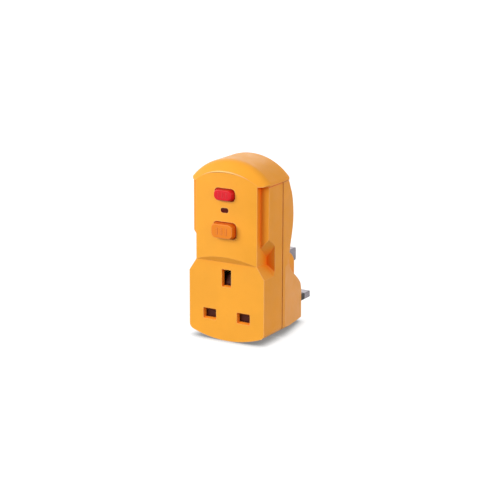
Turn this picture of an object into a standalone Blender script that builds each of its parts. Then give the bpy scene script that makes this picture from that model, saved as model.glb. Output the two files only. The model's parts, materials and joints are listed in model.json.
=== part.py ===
"""Plug-through safety adapter with a residual current switch, modelled in metres.

The socket face looks along -Y, the plug pins point along +Y and +Z is up.
The origin lies on the plug face, midway between the line and neutral pins.
Lengths below are written in millimetres and scaled once, when a shape is made.
"""

import math

import bmesh
import bpy
from mathutils import Matrix, Vector
from mathutils.geometry import interpolate_bezier

MM = 0.001
FIT = 0.2
SEAM_GAP = 0.5

# Case
HALF_WIDTH = 24.6
WALL = 2.2
FRONT_Y = -57.3
SEAM_Y = -36.3
DOME_BACK_Y = -28.8
BOTTOM_Z = -12.3
BOTTOM_SAG = 4.9
BOTTOM_CORNER = 4.5
LIP_Z = 79.3
LIP_PROUD = 0.4
ARCH_RADIUS = 31.4
ARCH_CORNER = 1.5
ARCH_FOOT_Z = LIP_Z + 0.93
DOME_EDGE = 1.4
CHAMFER_BACK = (0.0, 5.8)
CHAMFER_BEND = (1.5, 3.0)
CHAMFER_REACH = 9.0
ARCH_CENTRE_Z = ARCH_FOOT_Z - math.sqrt(
    (ARCH_RADIUS + LIP_PROUD - ARCH_CORNER) ** 2 - (HALF_WIDTH + LIP_PROUD - ARCH_CORNER) ** 2
)

# Front panel and finger grips
GRIP_WIDTH = 4.7
PANEL_HALF_WIDTH = HALF_WIDTH - GRIP_WIDTH
PANEL_BULGE = 2.0
LENS_LOW_Z = 33.7
LENS_HIGH_Z = 37.3
POCKET_Y = -45.3
POCKET_SILL = 1.2
# Depth and heights of each finger pocket, beside the panel and at the side of the case
GRIP_INNER = {"channel": -53.6, "front_low": 33.7, "low": 33.1, "high": 37.4, "ramp": 46.0}
GRIP_OUTER = {"channel": -51.9, "front_low": 26.6, "low": 29.1, "high": 44.0, "ramp": 49.0}
GRIP_DRAFT = 1.9

# Back of the case, as depth and height pairs from the dome down to the plug face
BACK_PROFILE = (
    (-29.0, 79.0),
    (-26.6, 74.4),
    (-24.2, 69.5),
    (-22.6, 61.5),
    (-22.6, 54.0),
    (-24.2, 47.0),
    (-26.6, 39.5),
    (-27.5, 32.5),
    (-25.9, 28.6),
    (-22.2, 25.0),
    (-17.1, 21.6),
    (-10.0, 17.4),
    (-4.6, 13.8),
    (-1.6, 10.9),
    (0.0, 6.4),
)
TAPER_START_Y = -33.0
PLUG_HALF_WIDTH = 17.2
UPPER_TAPER = 0.08
TAPER_LOW_Z = 22.0
TAPER_HIGH_Z = 38.0
EARTH_BLOCK_HALF_WIDTH = 12.2
EARTH_BLOCK_TOP_Z = 29.2
EARTH_BLOCK_CORNER = 6.0
EARTH_BLOCK_FRONT_Y = -30.5

# Pins and slots
PIN_X = 11.11
EARTH_RISE = 22.23
SOCKET_Z = 2.3
PIN_WIDE = 6.35
PIN_THICK = 4.0
PIN_LENGTH = 17.7
EARTH_THICK = 4.0
EARTH_TALL = 8.0
EARTH_LENGTH = 22.7
SLEEVE_LENGTH = 9.5
SLEEVE_WALL = 0.6
PIN_TAIL_Y = -9.0
SLOT_WIDE = 7.2
SLOT_TALL = 4.8
EARTH_SLOT_WIDE = 5.0
EARTH_SLOT_TALL = 9.0
PIN_CORNER = 0.5
PIN_TAPER = 1.8
EARTH_TAPER = 2.6
LIVE_PINS = (("line", 1), ("neutral", -1))
SIDES = ((1, "right"), (-1, "left"))

# Buttons and indicator
TEST_Z = 73.4
TEST_SIZE = (13.4, 7.6)
TEST_PROUD = 1.9
TEST_FACE = (0.84, 0.8)
RESET_Z = 53.0
RESET_SIZE = (14.6, 9.2)
RESET_PROUD = 3.4
RESET_FACE = (0.93, 0.86)
RESET_TRAVEL = 2.5
WINDOW_Z = 64.4
WINDOW_SIZE = (5.0, 2.8)
FLAG_PIVOT_Y = -48.9
FLAG_RADIUS = 4.4
FLAG_ARM = 5.0
FORK_LOW_Z = WINDOW_Z - 7.0
WINDOW_FIT = 0.15

# Mechanism planes, from the front of the object to the back
INNER_FRONT_Y = -54.9
FLANGE_BACK_Y = -53.3
CHASSIS_Y = (-47.2, -46.0)
CARRIER_Y = (-45.7, -43.0)
ARMATURE_Y = (-42.8, -41.8)
POLE_Y = -39.1
BOARD_Y = (-31.6, -30.0)
BRIDGE_Z = (49.0, 57.0)
BASE_Y = (-37.2, -35.7)
TOROID_CENTRE = (0.0, -27.5, 5.0)
BASE_MARGIN = 2.1
BASE_Z = (-4.5, 31.5)
BOARD_MARGIN = 2.4
BOARD_Z = (38.5, 67.7)
BOARD_POSTS_Z = (42.0, 64.0)
BOARD_POST_INSET = 10.1
CHASSIS_HALF_WIDTH = PANEL_HALF_WIDTH - WALL - 2 * FIT
CHASSIS_Z = (43.0, 68.0, 80.0)
CHASSIS_LEGS_Z = (45.0, 61.5)
CHASSIS_LEG = 3.0
CHIP_SIZE = (4.9, 3.9)
CHIP_LEG_GAP = 3.6
# Level, X, Z and seat of each pair of case screws
SCREWS = (
    ("upper", HALF_WIDTH - 8.6, 72.0, -30.6),
    ("lower", HALF_WIDTH - 6.0, 31.5, -29.4),
)
SCREW_HEAD = 2.7
SCREW_TUBE_WALL = 0.7
INLET_BAR_WIDE = 3.4
INLET_BAR_OUTER_X = SCREWS[1][1] - SCREW_HEAD - SCREW_TUBE_WALL - 2 * FIT
INLET_BAR_INNER_X = INLET_BAR_OUTER_X - INLET_BAR_WIDE
BRIDGE_X = INLET_BAR_OUTER_X - 1.3
SCREW_SHANK = 1.05
SCREW_REACH = 9.0
CONTACT_FRONT_Y = -51.5
CONTACT_THICK = 0.6
BAR_THICK = 0.8
SPRING_WIRE = 0.3

# Turns that lay a flat outline across each axis
AXES = {
    "x": Matrix(((0, 0, 1), (1, 0, 0), (0, 1, 0))),
    "y": Matrix(((1, 0, 0), (0, 0, 1), (0, 1, 0))),
    "z": Matrix(((1, 0, 0), (0, 1, 0), (0, 0, 1))),
}

# Colour, roughness and metallic value of each finish
FINISHES = {
    "orange": ((0.94, 0.42, 0.08), 0.38, 0.0),
    "amber": ((0.93, 0.30, 0.03), 0.32, 0.0),
    "red": ((0.80, 0.02, 0.04), 0.30, 0.0),
    "smoke": ((0.05, 0.005, 0.005), 0.12, 0.0),
    "white": ((0.86, 0.85, 0.81), 0.45, 0.0),
    "black": ((0.03, 0.03, 0.03), 0.45, 0.0),
    "brass": ((0.72, 0.55, 0.24), 0.30, 1.0),
    "nickel": ((0.62, 0.60, 0.60), 0.28, 1.0),
    "copper": ((0.75, 0.34, 0.18), 0.32, 1.0),
    "steel": ((0.55, 0.56, 0.58), 0.35, 1.0),
    "board": ((0.05, 0.25, 0.10), 0.50, 0.0),
    "blue": ((0.05, 0.16, 0.45), 0.40, 0.0),
    "tan": ((0.70, 0.52, 0.33), 0.50, 0.0),
    "ferrite": ((0.10, 0.10, 0.11), 0.60, 0.0),
}


def clear_scene():
    for old in list(bpy.data.objects):
        bpy.data.objects.remove(old, do_unlink=True)
    for old in list(bpy.data.collections):
        bpy.data.collections.remove(old)


def new_collection(name):
    group = bpy.data.collections.new(name)
    bpy.context.scene.collection.children.link(group)
    return group


def finish_material(name):
    colour, roughness, metallic = FINISHES[name]
    material = bpy.data.materials.new(name)
    material.use_nodes = True
    shader = material.node_tree.nodes["Principled BSDF"]
    shader.inputs["Base Color"].default_value = (*colour, 1.0)
    shader.inputs["Roughness"].default_value = roughness
    shader.inputs["Metallic"].default_value = metallic
    material.diffuse_color = (*colour, 1.0)
    return material


# Shapes, as meshes in millimetres


def face_out(shape):
    """Turns every face of a closed shape outwards."""
    bmesh.ops.recalc_face_normals(shape, faces=shape.faces)
    if shape.calc_volume(signed=True) < 0:
        bmesh.ops.reverse_faces(shape, faces=shape.faces)
    return shape


def mesh_of_curve(curve):
    """The evaluated mesh of a curve, with its caps welded to its sides."""
    holder = bpy.data.objects.new("holder", curve)
    bpy.context.scene.collection.objects.link(holder)
    graph = bpy.context.evaluated_depsgraph_get()
    mesh = bpy.data.meshes.new_from_object(holder.evaluated_get(graph))
    shape = bmesh.new()
    shape.from_mesh(mesh)
    bmesh.ops.remove_doubles(shape, verts=shape.verts, dist=1e-4)
    bmesh.ops.dissolve_limit(
        shape, angle_limit=math.radians(0.2), verts=shape.verts, edges=shape.edges
    )
    bpy.data.objects.remove(holder, do_unlink=True)
    bpy.data.meshes.remove(mesh)
    bpy.data.curves.remove(curve)
    return shape


def slab(outline, axis, low, high):
    """A flat outline extruded along an axis. Points are (y, z), (x, z) or (x, y)."""
    curve = bpy.data.curves.new("outline", "CURVE")
    curve.dimensions = "2D"
    curve.fill_mode = "BOTH"
    curve.extrude = (high - low) / 2
    spline = curve.splines.new("POLY")
    spline.points.add(len(outline) - 1)
    for point, (u, v) in zip(spline.points, outline):
        point.co = (u, v, 0.0, 1.0)
    spline.use_cyclic_u = True
    shape = mesh_of_curve(curve)
    bmesh.ops.translate(shape, vec=(0, 0, (low + high) / 2), verts=shape.verts)
    shape.transform(AXES[axis].to_4x4())
    return face_out(shape)


def block(x, y, z):
    """A box between the given limits along each axis."""
    shape = bmesh.new()
    bmesh.ops.create_cube(shape, size=1.0)
    for vertex in shape.verts:
        vertex.co = Vector(
            (
                x[0] + (vertex.co.x + 0.5) * (x[1] - x[0]),
                y[0] + (vertex.co.y + 0.5) * (y[1] - y[0]),
                z[0] + (vertex.co.z + 0.5) * (z[1] - z[0]),
            )
        )
    return face_out(shape)


def rod(centre, axis, radius, low, high, sides=16, tip_radius=None):
    """A round bar along an axis, centred on the other two coordinates."""
    shape = bmesh.new()
    bmesh.ops.create_cone(
        shape,
        cap_ends=True,
        segments=sides,
        radius1=radius,
        radius2=radius if tip_radius is None else tip_radius,
        depth=high - low,
    )
    turn = {
        "x": Matrix.Rotation(math.pi / 2, 4, "Y"),
        "y": Matrix.Rotation(-math.pi / 2, 4, "X"),
        "z": Matrix.Identity(4),
    }[axis]
    shape.transform(turn)
    middle = (low + high) / 2
    place = {
        "x": (middle, centre[0], centre[1]),
        "y": (centre[0], middle, centre[1]),
        "z": (centre[0], centre[1], middle),
    }[axis]
    bmesh.ops.translate(shape, vec=place, verts=shape.verts)
    return shape


def arc(centre, radius, start, end, steps):
    """Points on a circle between two angles in degrees, counted from +u towards +v."""
    points = []
    for step in range(steps + 1):
        angle = math.radians(start + (end - start) * step / steps)
        u = centre[0] + radius * math.cos(angle)
        v = centre[1] + radius * math.sin(angle)
        points.append((u, v))
    return points


def rounded_rectangle(centre, size, radius, steps=3):
    points = []
    for corner, (su, sv) in enumerate(((1, 1), (-1, 1), (-1, -1), (1, -1))):
        middle = (
            centre[0] + su * (size[0] / 2 - radius),
            centre[1] + sv * (size[1] / 2 - radius),
        )
        points += arc(middle, radius, 90 * corner, 90 * corner + 90, steps)
    return points


def smooth_path(points, steps):
    """A path through the points that rounds its corners."""
    path = [Vector((*p, 0.0)) if len(p) == 2 else Vector(p) for p in points]
    ends = [path[0], *path, path[-1]]
    smooth = []
    for i in range(1, len(path)):
        before, start, end, after = ends[i - 1], ends[i], ends[i + 1], ends[i + 2]
        first = start + (end - before) / 6
        second = end - (after - start) / 6
        run = interpolate_bezier(start, first, second, end, steps + 1)
        smooth += run[:-1]
    smooth.append(path[-1])
    return smooth


def strip(path, thickness):
    """The outline of a thin strip of even thickness that follows a bent path."""
    points = [Vector(p) for p in path]
    left, right = [], []
    for i, point in enumerate(points):
        before = (point - points[i - 1]).normalized() if i else None
        after = (points[i + 1] - point).normalized() if i + 1 < len(points) else None
        along = (before or after) + (after or before)
        along.normalize()
        normal = Vector((-along.y, along.x))
        stretch = 1 / max(0.5, along.dot(after or before))
        left.append(point + normal * stretch * thickness / 2)
        right.append(point - normal * stretch * thickness / 2)
    return [tuple(p) for p in left + right[::-1]]


def narrow_end(shape, axis, level, centre, factor):
    """Scales the vertices that lie on one plane towards a centre, as for a sloped key."""
    index = "xyz".index(axis)
    for vertex in shape.verts:
        if abs(vertex.co[index] - level) < 1e-3:
            for other in range(3):
                if other != index:
                    vertex.co[other] = (
                        centre[other] + (vertex.co[other] - centre[other]) * factor[other]
                    )
    return shape


# Objects


class Builder:
    """Makes the objects, with one material for each finish."""

    def __init__(self):
        self.parts = new_collection("RcdPlugAdapter")
        self.cutters = new_collection("Cutters")
        self.cutters.hide_render = True
        self.materials = {name: finish_material(name) for name in FINISHES}

    def add(self, name, shape, finish, origin=(0, 0, 0)):
        """A piece of the object, with its origin where it is held or moves."""
        mesh = bpy.data.meshes.new(name)
        bmesh.ops.translate(shape, vec=-Vector(origin), verts=shape.verts)
        bmesh.ops.scale(shape, vec=(MM, MM, MM), verts=shape.verts)
        shape.to_mesh(mesh)
        shape.free()
        mesh.materials.append(self.materials[finish])
        piece = bpy.data.objects.new(name, mesh)
        piece.location = Vector(origin) * MM
        self.parts.objects.link(piece)
        return piece

    def tool(self, name, shape):
        """A helper that a Boolean uses. It isn't rendered."""
        piece = self.add(name, shape, "white")
        self.parts.objects.unlink(piece)
        self.cutters.objects.link(piece)
        piece.hide_render = True
        piece.display_type = "WIRE"
        return piece

    def combine(self, piece, operation, name, shape):
        """Joins a shape to a piece, cuts it away or keeps what they share."""
        helper = shape if isinstance(shape, bpy.types.Object) else self.tool(name, shape)
        boolean = piece.modifiers.new(name, "BOOLEAN")
        boolean.operation = operation
        boolean.solver = "EXACT"
        boolean.object = helper
        return helper

    def join(self, piece, name, shape):
        return self.combine(piece, "UNION", name, shape)

    def cut(self, piece, name, shape):
        return self.combine(piece, "DIFFERENCE", name, shape)

    def keep(self, piece, name, shape):
        return self.combine(piece, "INTERSECT", name, shape)

    def thread(self, name, path, radius, finish, rings=2):
        """A round wire that follows a path, with closed ends."""
        curve = bpy.data.curves.new(name, "CURVE")
        curve.dimensions = "3D"
        curve.bevel_depth = radius * MM
        curve.bevel_resolution = rings
        curve.use_fill_caps = True
        spline = curve.splines.new("POLY")
        spline.points.add(len(path) - 1)
        origin = Vector(path[0])
        for point, place in zip(spline.points, path):
            point.co = (*((Vector(place) - origin) * MM), 1.0)
        curve.materials.append(self.materials[finish])
        piece = bpy.data.objects.new(name, curve)
        piece.location = origin * MM
        self.parts.objects.link(piece)
        return piece


def helix(centre, axis, radius, low, high, turns, steps=9):
    """Points of a coil along an axis, from low to high."""
    path = []
    count = int(turns * steps)
    for step in range(count + 1):
        angle = 2 * math.pi * step / steps
        u = radius * math.cos(angle)
        v = radius * math.sin(angle)
        along = low + (high - low) * step / count
        if axis == "y":
            path.append((centre[0] + u, along, centre[1] + v))
        else:
            path.append((centre[0] + u, centre[1] + v, along))
    return path


# Case


def case_outline(inset, bottom_steps=10):
    """Front view of the case without its dome: arched bottom, round corners, flat top."""
    half = HALF_WIDTH - inset
    bottom_radius = (HALF_WIDTH**2 + BOTTOM_SAG**2) / (2 * BOTTOM_SAG)
    centre_z = BOTTOM_Z + bottom_radius
    radius = bottom_radius - inset
    corner = max(BOTTOM_CORNER - inset, 1.0)
    corner_x = half - corner
    corner_z = centre_z - math.sqrt((radius - corner) ** 2 - corner_x**2)
    spread = math.degrees(math.atan2(corner_x, centre_z - corner_z))
    points = arc((0, centre_z), radius, -90 - spread, -90 + spread, bottom_steps)
    points += arc((corner_x, corner_z), corner, -90 + spread, 0, 4)[1:]
    left = [(-u, v) for u, v in points if u > corner_x - 1e-6][::-1]
    return points, left, half


def flat_top_outline(inset, top_z):
    points, left, half = case_outline(inset)
    return points + [(half, top_z), (-half, top_z)] + left[:-1]


def arch_points(inset):
    """The dome's arch from its right side to its left, with small corners."""
    half = HALF_WIDTH + LIP_PROUD - inset
    radius = ARCH_RADIUS + LIP_PROUD - inset
    corner_x = half - ARCH_CORNER
    corner_z = ARCH_CENTRE_Z + math.sqrt((radius - ARCH_CORNER) ** 2 - corner_x**2)
    lean = math.degrees(math.atan2(corner_z - ARCH_CENTRE_Z, corner_x))
    right = arc((corner_x, corner_z), ARCH_CORNER, 0, lean, 2)[:-1]
    points = right + arc((0, ARCH_CENTRE_Z), radius, lean, 180 - lean, 18)
    return points + [(-u, v) for u, v in right[::-1]]


def dome_outline(inset, low_z):
    half = HALF_WIDTH + LIP_PROUD - inset
    return [(half, low_z), *arch_points(inset), (-half, low_z)]


def full_outline(inset):
    points, left, half = case_outline(inset)
    return points + arch_points(inset + LIP_PROUD) + left[:-1]


def chamfer_ring(inset):
    """What the rounded cone at the front of the dome leaves outside it."""
    radius = ARCH_RADIUS + LIP_PROUD - inset
    back = (radius - CHAMFER_BACK[0], FRONT_Y + CHAMFER_BACK[1] + 0.3 * inset)
    bend = (radius - CHAMFER_BEND[0] + 0.1 * inset, FRONT_Y + CHAMFER_BEND[1] + 0.55 * inset)
    front = (bend[0] - CHAMFER_REACH, bend[1] - CHAMFER_REACH)
    profile = (front, bend, back, (2 * ARCH_RADIUS, back[1]), (2 * ARCH_RADIUS, front[1]))
    shape = bmesh.new()
    section = shape.faces.new([shape.verts.new((r, y, ARCH_CENTRE_Z)) for r, y in profile])
    bmesh.ops.spin(
        shape,
        geom=[section, *section.edges, *section.verts],
        cent=(0, 0, ARCH_CENTRE_Z),
        axis=(0, -1, 0),
        angle=math.pi,
        steps=36,
    )
    open_edges = [edge for edge in shape.edges if edge.is_boundary]
    bmesh.ops.holes_fill(shape, edges=open_edges)
    return face_out(shape)


def loft(sections):
    """A closed shape through sections that have the same number of corners."""
    shape = bmesh.new()
    rings = [[shape.verts.new(corner) for corner in section] for section in sections]
    count = len(rings[0])
    for first, second in zip(rings, rings[1:]):
        for i in range(count):
            j = (i + 1) % count
            shape.faces.new((first[i], first[j], second[j], second[i]))
    shape.faces.new(rings[0])
    shape.faces.new(rings[-1][::-1])
    return face_out(shape)


def grip_cutter(side, wall):
    """The channel and finger pocket beside the panel, wider by a wall for the cavity."""
    spread = GRIP_DRAFT * wall
    sections = []
    for x in (PANEL_HALF_WIDTH - wall, HALF_WIDTH + 2.0):
        share = (x - PANEL_HALF_WIDTH) / (HALF_WIDTH - PANEL_HALF_WIDTH)
        at = {key: GRIP_INNER[key] + share * (GRIP_OUTER[key] - GRIP_INNER[key]) for key in GRIP_INNER}
        floor = POCKET_Y + wall
        front = FRONT_Y - 6.0
        section = (
            (front, LIP_Z + wall),
            (at["channel"] + wall, LIP_Z + wall),
            (at["channel"] + wall, at["ramp"] + spread),
            (floor, at["high"] + spread),
            (floor, at["low"] - spread),
            (floor - POCKET_SILL, at["front_low"] - spread),
            (front, at["front_low"] - spread),
        )
        sections.append([(side * x, y, z) for y, z in section])
    return loft(sections)


def panel_shape():
    """The bowed panel between the finger grips, before its ends are cut."""
    half = PANEL_HALF_WIDTH + 0.6
    radius = (PANEL_HALF_WIDTH**2 + PANEL_BULGE**2) / (2 * PANEL_BULGE)
    centre_y = FRONT_Y - PANEL_BULGE + radius
    spread = math.degrees(math.asin(half / radius))
    bow = arc((0, centre_y), radius, -90 - spread, -90 + spread, 16)
    back_y = FRONT_Y + 2.0
    outline = [(-half, back_y), *bow, (half, back_y)]
    return slab(outline, "z", LENS_LOW_Z - 6.0, ARCH_CENTRE_Z + ARCH_RADIUS - 2.0)


def lens_wedge():
    """The half space below the sloped facet at the foot of the panel."""
    slope = (LENS_HIGH_Z - LENS_LOW_Z) / PANEL_BULGE
    back, front = FRONT_Y + 6.0, FRONT_Y - 6.0
    outline = (
        (back, LENS_LOW_Z - slope * 6.0),
        (front, LENS_LOW_Z + slope * 6.0),
        (front, LENS_LOW_Z - 30.0),
        (back, LENS_LOW_Z - 30.0),
    )
    return slab(outline, "x", -40.0, 40.0)


def build_front_shell(make):
    front_back_y = SEAM_Y - SEAM_GAP / 2
    shell = make.add(
        "front_shell",
        slab(flat_top_outline(0.0, LIP_Z + 0.7), "y", FRONT_Y, front_back_y),
        "orange",
    )
    dome = slab(dome_outline(0.0, LIP_Z), "y", FRONT_Y, DOME_BACK_Y)
    rear_edges = [
        edge
        for edge in dome.edges
        if all(abs(v.co.y - DOME_BACK_Y) < 1e-3 for v in edge.verts)
        and max(v.co.z for v in edge.verts) > LIP_Z + 0.1
    ]
    bmesh.ops.bevel(
        dome, geom=rear_edges, offset=DOME_EDGE, segments=2, profile=0.5, affect="EDGES"
    )
    make.join(shell, "dome", dome)
    panel = make.tool("panel", panel_shape())
    make.cut(panel, "lens_wedge", lens_wedge())
    make.join(shell, "panel", panel)
    make.cut(shell, "dome_chamfer", chamfer_ring(0.0))
    for side, label in SIDES:
        make.cut(shell, "grip_" + label, grip_cutter(side, 0.0))

    cavity = make.tool(
        "front_cavity",
        slab(full_outline(WALL), "y", INNER_FRONT_Y, DOME_BACK_Y - WALL),
    )
    make.cut(cavity, "cavity_chamfer", chamfer_ring(WALL))
    for side, label in SIDES:
        make.cut(cavity, "cavity_grip_" + label, grip_cutter(side, WALL))
    make.cut(shell, "cavity", cavity)

    for label, x, z, size in (
        ("line", PIN_X, SOCKET_Z, (SLOT_WIDE, SLOT_TALL)),
        ("neutral", -PIN_X, SOCKET_Z, (SLOT_WIDE, SLOT_TALL)),
        ("earth", 0.0, SOCKET_Z + EARTH_RISE, (EARTH_SLOT_WIDE, EARTH_SLOT_TALL)),
    ):
        hole = block(
            (x - size[0] / 2, x + size[0] / 2),
            (FRONT_Y - 2.0, INNER_FRONT_Y + 2.0),
            (z - size[1] / 2, z + size[1] / 2),
        )
        make.cut(shell, "slot_" + label, hole)
    for label, z, size, radius in (
        ("test", TEST_Z, TEST_SIZE, 1.8),
        ("reset", RESET_Z, RESET_SIZE, 1.4),
        ("window", WINDOW_Z, WINDOW_SIZE, 0.8),
    ):
        gap = 0.0 if label == "window" else 2 * FIT
        opening = (size[0] + gap, size[1] + gap)
        hole = slab(
            rounded_rectangle((0, z), opening, radius),
            "y",
            FRONT_Y - PANEL_BULGE - 3.0,
            INNER_FRONT_Y + 2.0,
        )
        make.cut(shell, "hole_" + label, hole)

    for level, x, z, _ in SCREWS:
        front = INNER_FRONT_Y - 0.5 if level == "upper" else POCKET_Y + 1.0
        for side, label in SIDES:
            name = f"boss_{level}_{label}"
            centre = (side * x, z)
            make.join(shell, name, rod(centre, "y", SCREW_HEAD, front, SEAM_Y - 2.0, 12))
            depth = SEAM_Y - SCREW_REACH - 2.0
            pilot = rod(centre, "y", SCREW_SHANK + FIT, depth, SEAM_Y, 10)
            make.cut(shell, "pilot_" + name, pilot)
    for z in (-2.5, 18.5):
        for side, label in SIDES:
            centre = (side * 18.5, z)
            post = rod(centre, "y", 1.6, INNER_FRONT_Y - 0.5, BASE_Y[0] - FIT, 8)
            make.join(shell, f"base_post_{z:.0f}_{label}", post)


def taper_cutter(side, wall):
    """What lies outside the tapering side of the rear shell."""
    lower = (HALF_WIDTH - PLUG_HALF_WIDTH) / -TAPER_START_Y
    levels = (
        (-30.0, lower),
        (TAPER_LOW_Z, lower),
        ((TAPER_LOW_Z + TAPER_HIGH_Z) / 2, (lower + UPPER_TAPER) / 2),
        (TAPER_HIGH_Z, UPPER_TAPER),
        (100.0, UPPER_TAPER),
    )
    sections = []
    back_y, outer = 8.0, HALF_WIDTH + 10.0
    for z, rate in levels:
        start = HALF_WIDTH - wall
        end = start - rate * (back_y - TAPER_START_Y)
        corners = ((start, TAPER_START_Y), (end, back_y), (outer, back_y))
        corners += ((outer, TAPER_START_Y),)
        sections.append([(side * x, y, z) for x, y in corners])
    return loft(sections)


def back_profile(wall, front_y):
    """Side view of the rear shell, from the dome to the plug face."""
    points = [(p.x - wall, p.y - wall / 2) for p in smooth_path(BACK_PROFILE, 3)]
    top_y, low_y = points[0][0], points[-1][0]
    return [(front_y, 85.0), (top_y, 85.0), *points, (low_y, -20.0), (front_y, -20.0)]


def rear_solid(make, name, wall, front_y):
    """The rear shell without its hollow, or with a wall taken off for the hollow."""
    if wall:
        base = slab(flat_top_outline(wall, LIP_Z + 6.0), "y", front_y, 1.0)
        piece = make.tool(name, base)
    else:
        base = slab(flat_top_outline(wall, LIP_Z - 0.3), "y", front_y, 1.0)
        piece = make.add(name, base, "orange")
    profile = slab(back_profile(wall, front_y - 1.0), "x", -30.0, 30.0)
    make.keep(piece, name + "_profile", profile)
    half = EARTH_BLOCK_HALF_WIDTH - wall
    top = EARTH_BLOCK_TOP_Z - wall
    corner = EARTH_BLOCK_CORNER - wall
    points = [(half, 0.0)]
    points += arc((half - corner, top - corner), corner, 0, 90, 4)
    points += arc((corner - half, top - corner), corner, 90, 180, 4)
    points += [(-half, 0.0)]
    earth_block = slab(points, "y", EARTH_BLOCK_FRONT_Y, -wall * 1.005)
    make.join(piece, name + "_earth_block", earth_block)
    for side, label in SIDES:
        make.cut(piece, f"{name}_taper_{label}", taper_cutter(side, wall))
    return piece


def tongue_ring(make, rim_y):
    """The rim inside the seam that locates the rear shell in the front one."""
    outer = slab(full_outline(WALL + FIT), "y", rim_y - 2.0, rim_y + 1.6)
    ring = make.tool("tongue", outer)
    root = slab(flat_top_outline(WALL / 2, LIP_Z - 1.0), "y", rim_y + 0.3, rim_y + 1.6)
    make.join(ring, "tongue_root", root)
    inside = slab(full_outline(WALL + 1.2), "y", rim_y - 4.0, rim_y + 4.0)
    make.cut(ring, "tongue_inside", inside)
    return ring


def build_rear_shell(make):
    rim_y = SEAM_Y + SEAM_GAP / 2
    shell = rear_solid(make, "rear_shell", 0.0, rim_y)
    make.cut(shell, "cavity", rear_solid(make, "rear_cavity", WALL, rim_y - 3.0))
    make.join(shell, "tongue", tongue_ring(make, rim_y))

    for label, x, z, size in (
        ("line", PIN_X, 0.0, (PIN_WIDE, PIN_THICK)),
        ("neutral", -PIN_X, 0.0, (PIN_WIDE, PIN_THICK)),
        ("earth", 0.0, EARTH_RISE, (EARTH_THICK, EARTH_TALL)),
    ):
        hole = block(
            (x - size[0] / 2 - FIT, x + size[0] / 2 + FIT),
            (-WALL - 2.0, 2.0),
            (z - size[1] / 2 - FIT, z + size[1] / 2 + FIT),
        )
        make.cut(shell, "pin_hole_" + label, hole)

    for level, x, z, seat in SCREWS:
        tube_end = seat + (4.1 if level == "upper" else 1.9)
        for side, label in SIDES:
            name = f"screw_{level}_{label}"
            centre = (side * x, z)
            tube = rod(centre, "y", SCREW_HEAD + SCREW_TUBE_WALL, rim_y + 0.15, tube_end, 14)
            make.join(shell, "tube_" + name, tube)
            recess = rod(centre, "y", SCREW_HEAD + FIT, seat, seat + 18.0, 14)
            make.cut(shell, "recess_" + name, recess)
            hole = rod(centre, "y", SCREW_SHANK + 0.65, rim_y - 9.0, seat + 1.0, 10)
            make.cut(shell, "hole_" + name, hole)
    post_x = HALF_WIDTH - BOARD_POST_INSET
    for z in BOARD_POSTS_Z:
        for side, label in SIDES:
            post = rod((side * post_x, z), "y", 1.8, BOARD_Y[1] + FIT, -25.2, 8)
            make.join(shell, f"board_post_{z:.0f}_{label}", post)


# Pins, sleeves and socket contacts


def pin_length(centre, size, low, high):
    return slab(rounded_rectangle(centre, size, PIN_CORNER, 2), "y", low, high)


def build_pins(make):
    bore = (PIN_WIDE - 2 * SLEEVE_WALL, PIN_THICK - 2 * SLEEVE_WALL)
    neck = (bore[0] - 2 * FIT, bore[1] - 2 * FIT)
    size = (PIN_WIDE, PIN_THICK)
    for label, side in LIVE_PINS:
        x = side * PIN_X
        tip = pin_length((x, 0), size, PIN_LENGTH - PIN_TAPER, PIN_LENGTH)
        tip = narrow_end(tip, "y", PIN_LENGTH, (x, 0, 0), (0.68, 1, 0.5))
        pin = make.add(label + "_pin", tip, "nickel", (x, 0, 0))
        bare = pin_length((x, 0), size, SLEEVE_LENGTH + FIT, PIN_LENGTH - PIN_TAPER + 0.01)
        make.join(pin, label + "_pin_bare", bare)
        inner = block(
            (x - neck[0] / 2, x + neck[0] / 2),
            (-WALL - 1.0, SLEEVE_LENGTH + 1.0),
            (-neck[1] / 2, neck[1] / 2),
        )
        make.join(pin, label + "_pin_neck", inner)
        flange = block((x - 4.2, x + 4.2), (-WALL - 1.6, -WALL - FIT), (-3.2, 3.2))
        make.join(pin, label + "_pin_flange", flange)
        tail = block((x - 2.6, x + 2.6), (PIN_TAIL_Y, -WALL - 1.0), (-1.4, 1.4))
        make.join(pin, label + "_pin_tail", tail)

        sleeve = pin_length((x, 0), size, -WALL + 0.1, SLEEVE_LENGTH)
        sleeve = make.add(label + "_pin_sleeve", sleeve, "black", (x, 0, 0))
        hollow = block(
            (x - bore[0] / 2, x + bore[0] / 2),
            (-WALL - 1.0, SLEEVE_LENGTH + 1.0),
            (-bore[1] / 2, bore[1] / 2),
        )
        make.cut(sleeve, label + "_sleeve_bore", hollow)

    size = (EARTH_THICK, EARTH_TALL)
    centre = (0.0, EARTH_RISE)
    tip = pin_length(centre, size, EARTH_LENGTH - EARTH_TAPER, EARTH_LENGTH)
    tip = narrow_end(tip, "y", EARTH_LENGTH, (0, 0, EARTH_RISE), (0.5, 1, 0.55))
    earth = make.add("earth_pin", tip, "nickel", (0, 0, EARTH_RISE))
    shank = pin_length(centre, size, -WALL - 1.0, EARTH_LENGTH - EARTH_TAPER + 0.01)
    make.join(earth, "earth_shank", shank)
    for name, half_wide, y, half_tall in (
        ("earth_flange", 3.6, (-WALL - 1.6, -WALL - FIT), 4.6),
        ("earth_tail", 1.8, (PIN_TAIL_Y, -WALL - 1.0), 3.0),
    ):
        z = (EARTH_RISE - half_tall, EARTH_RISE + half_tall)
        make.join(earth, name, block((-half_wide, half_wide), y, z))


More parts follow.
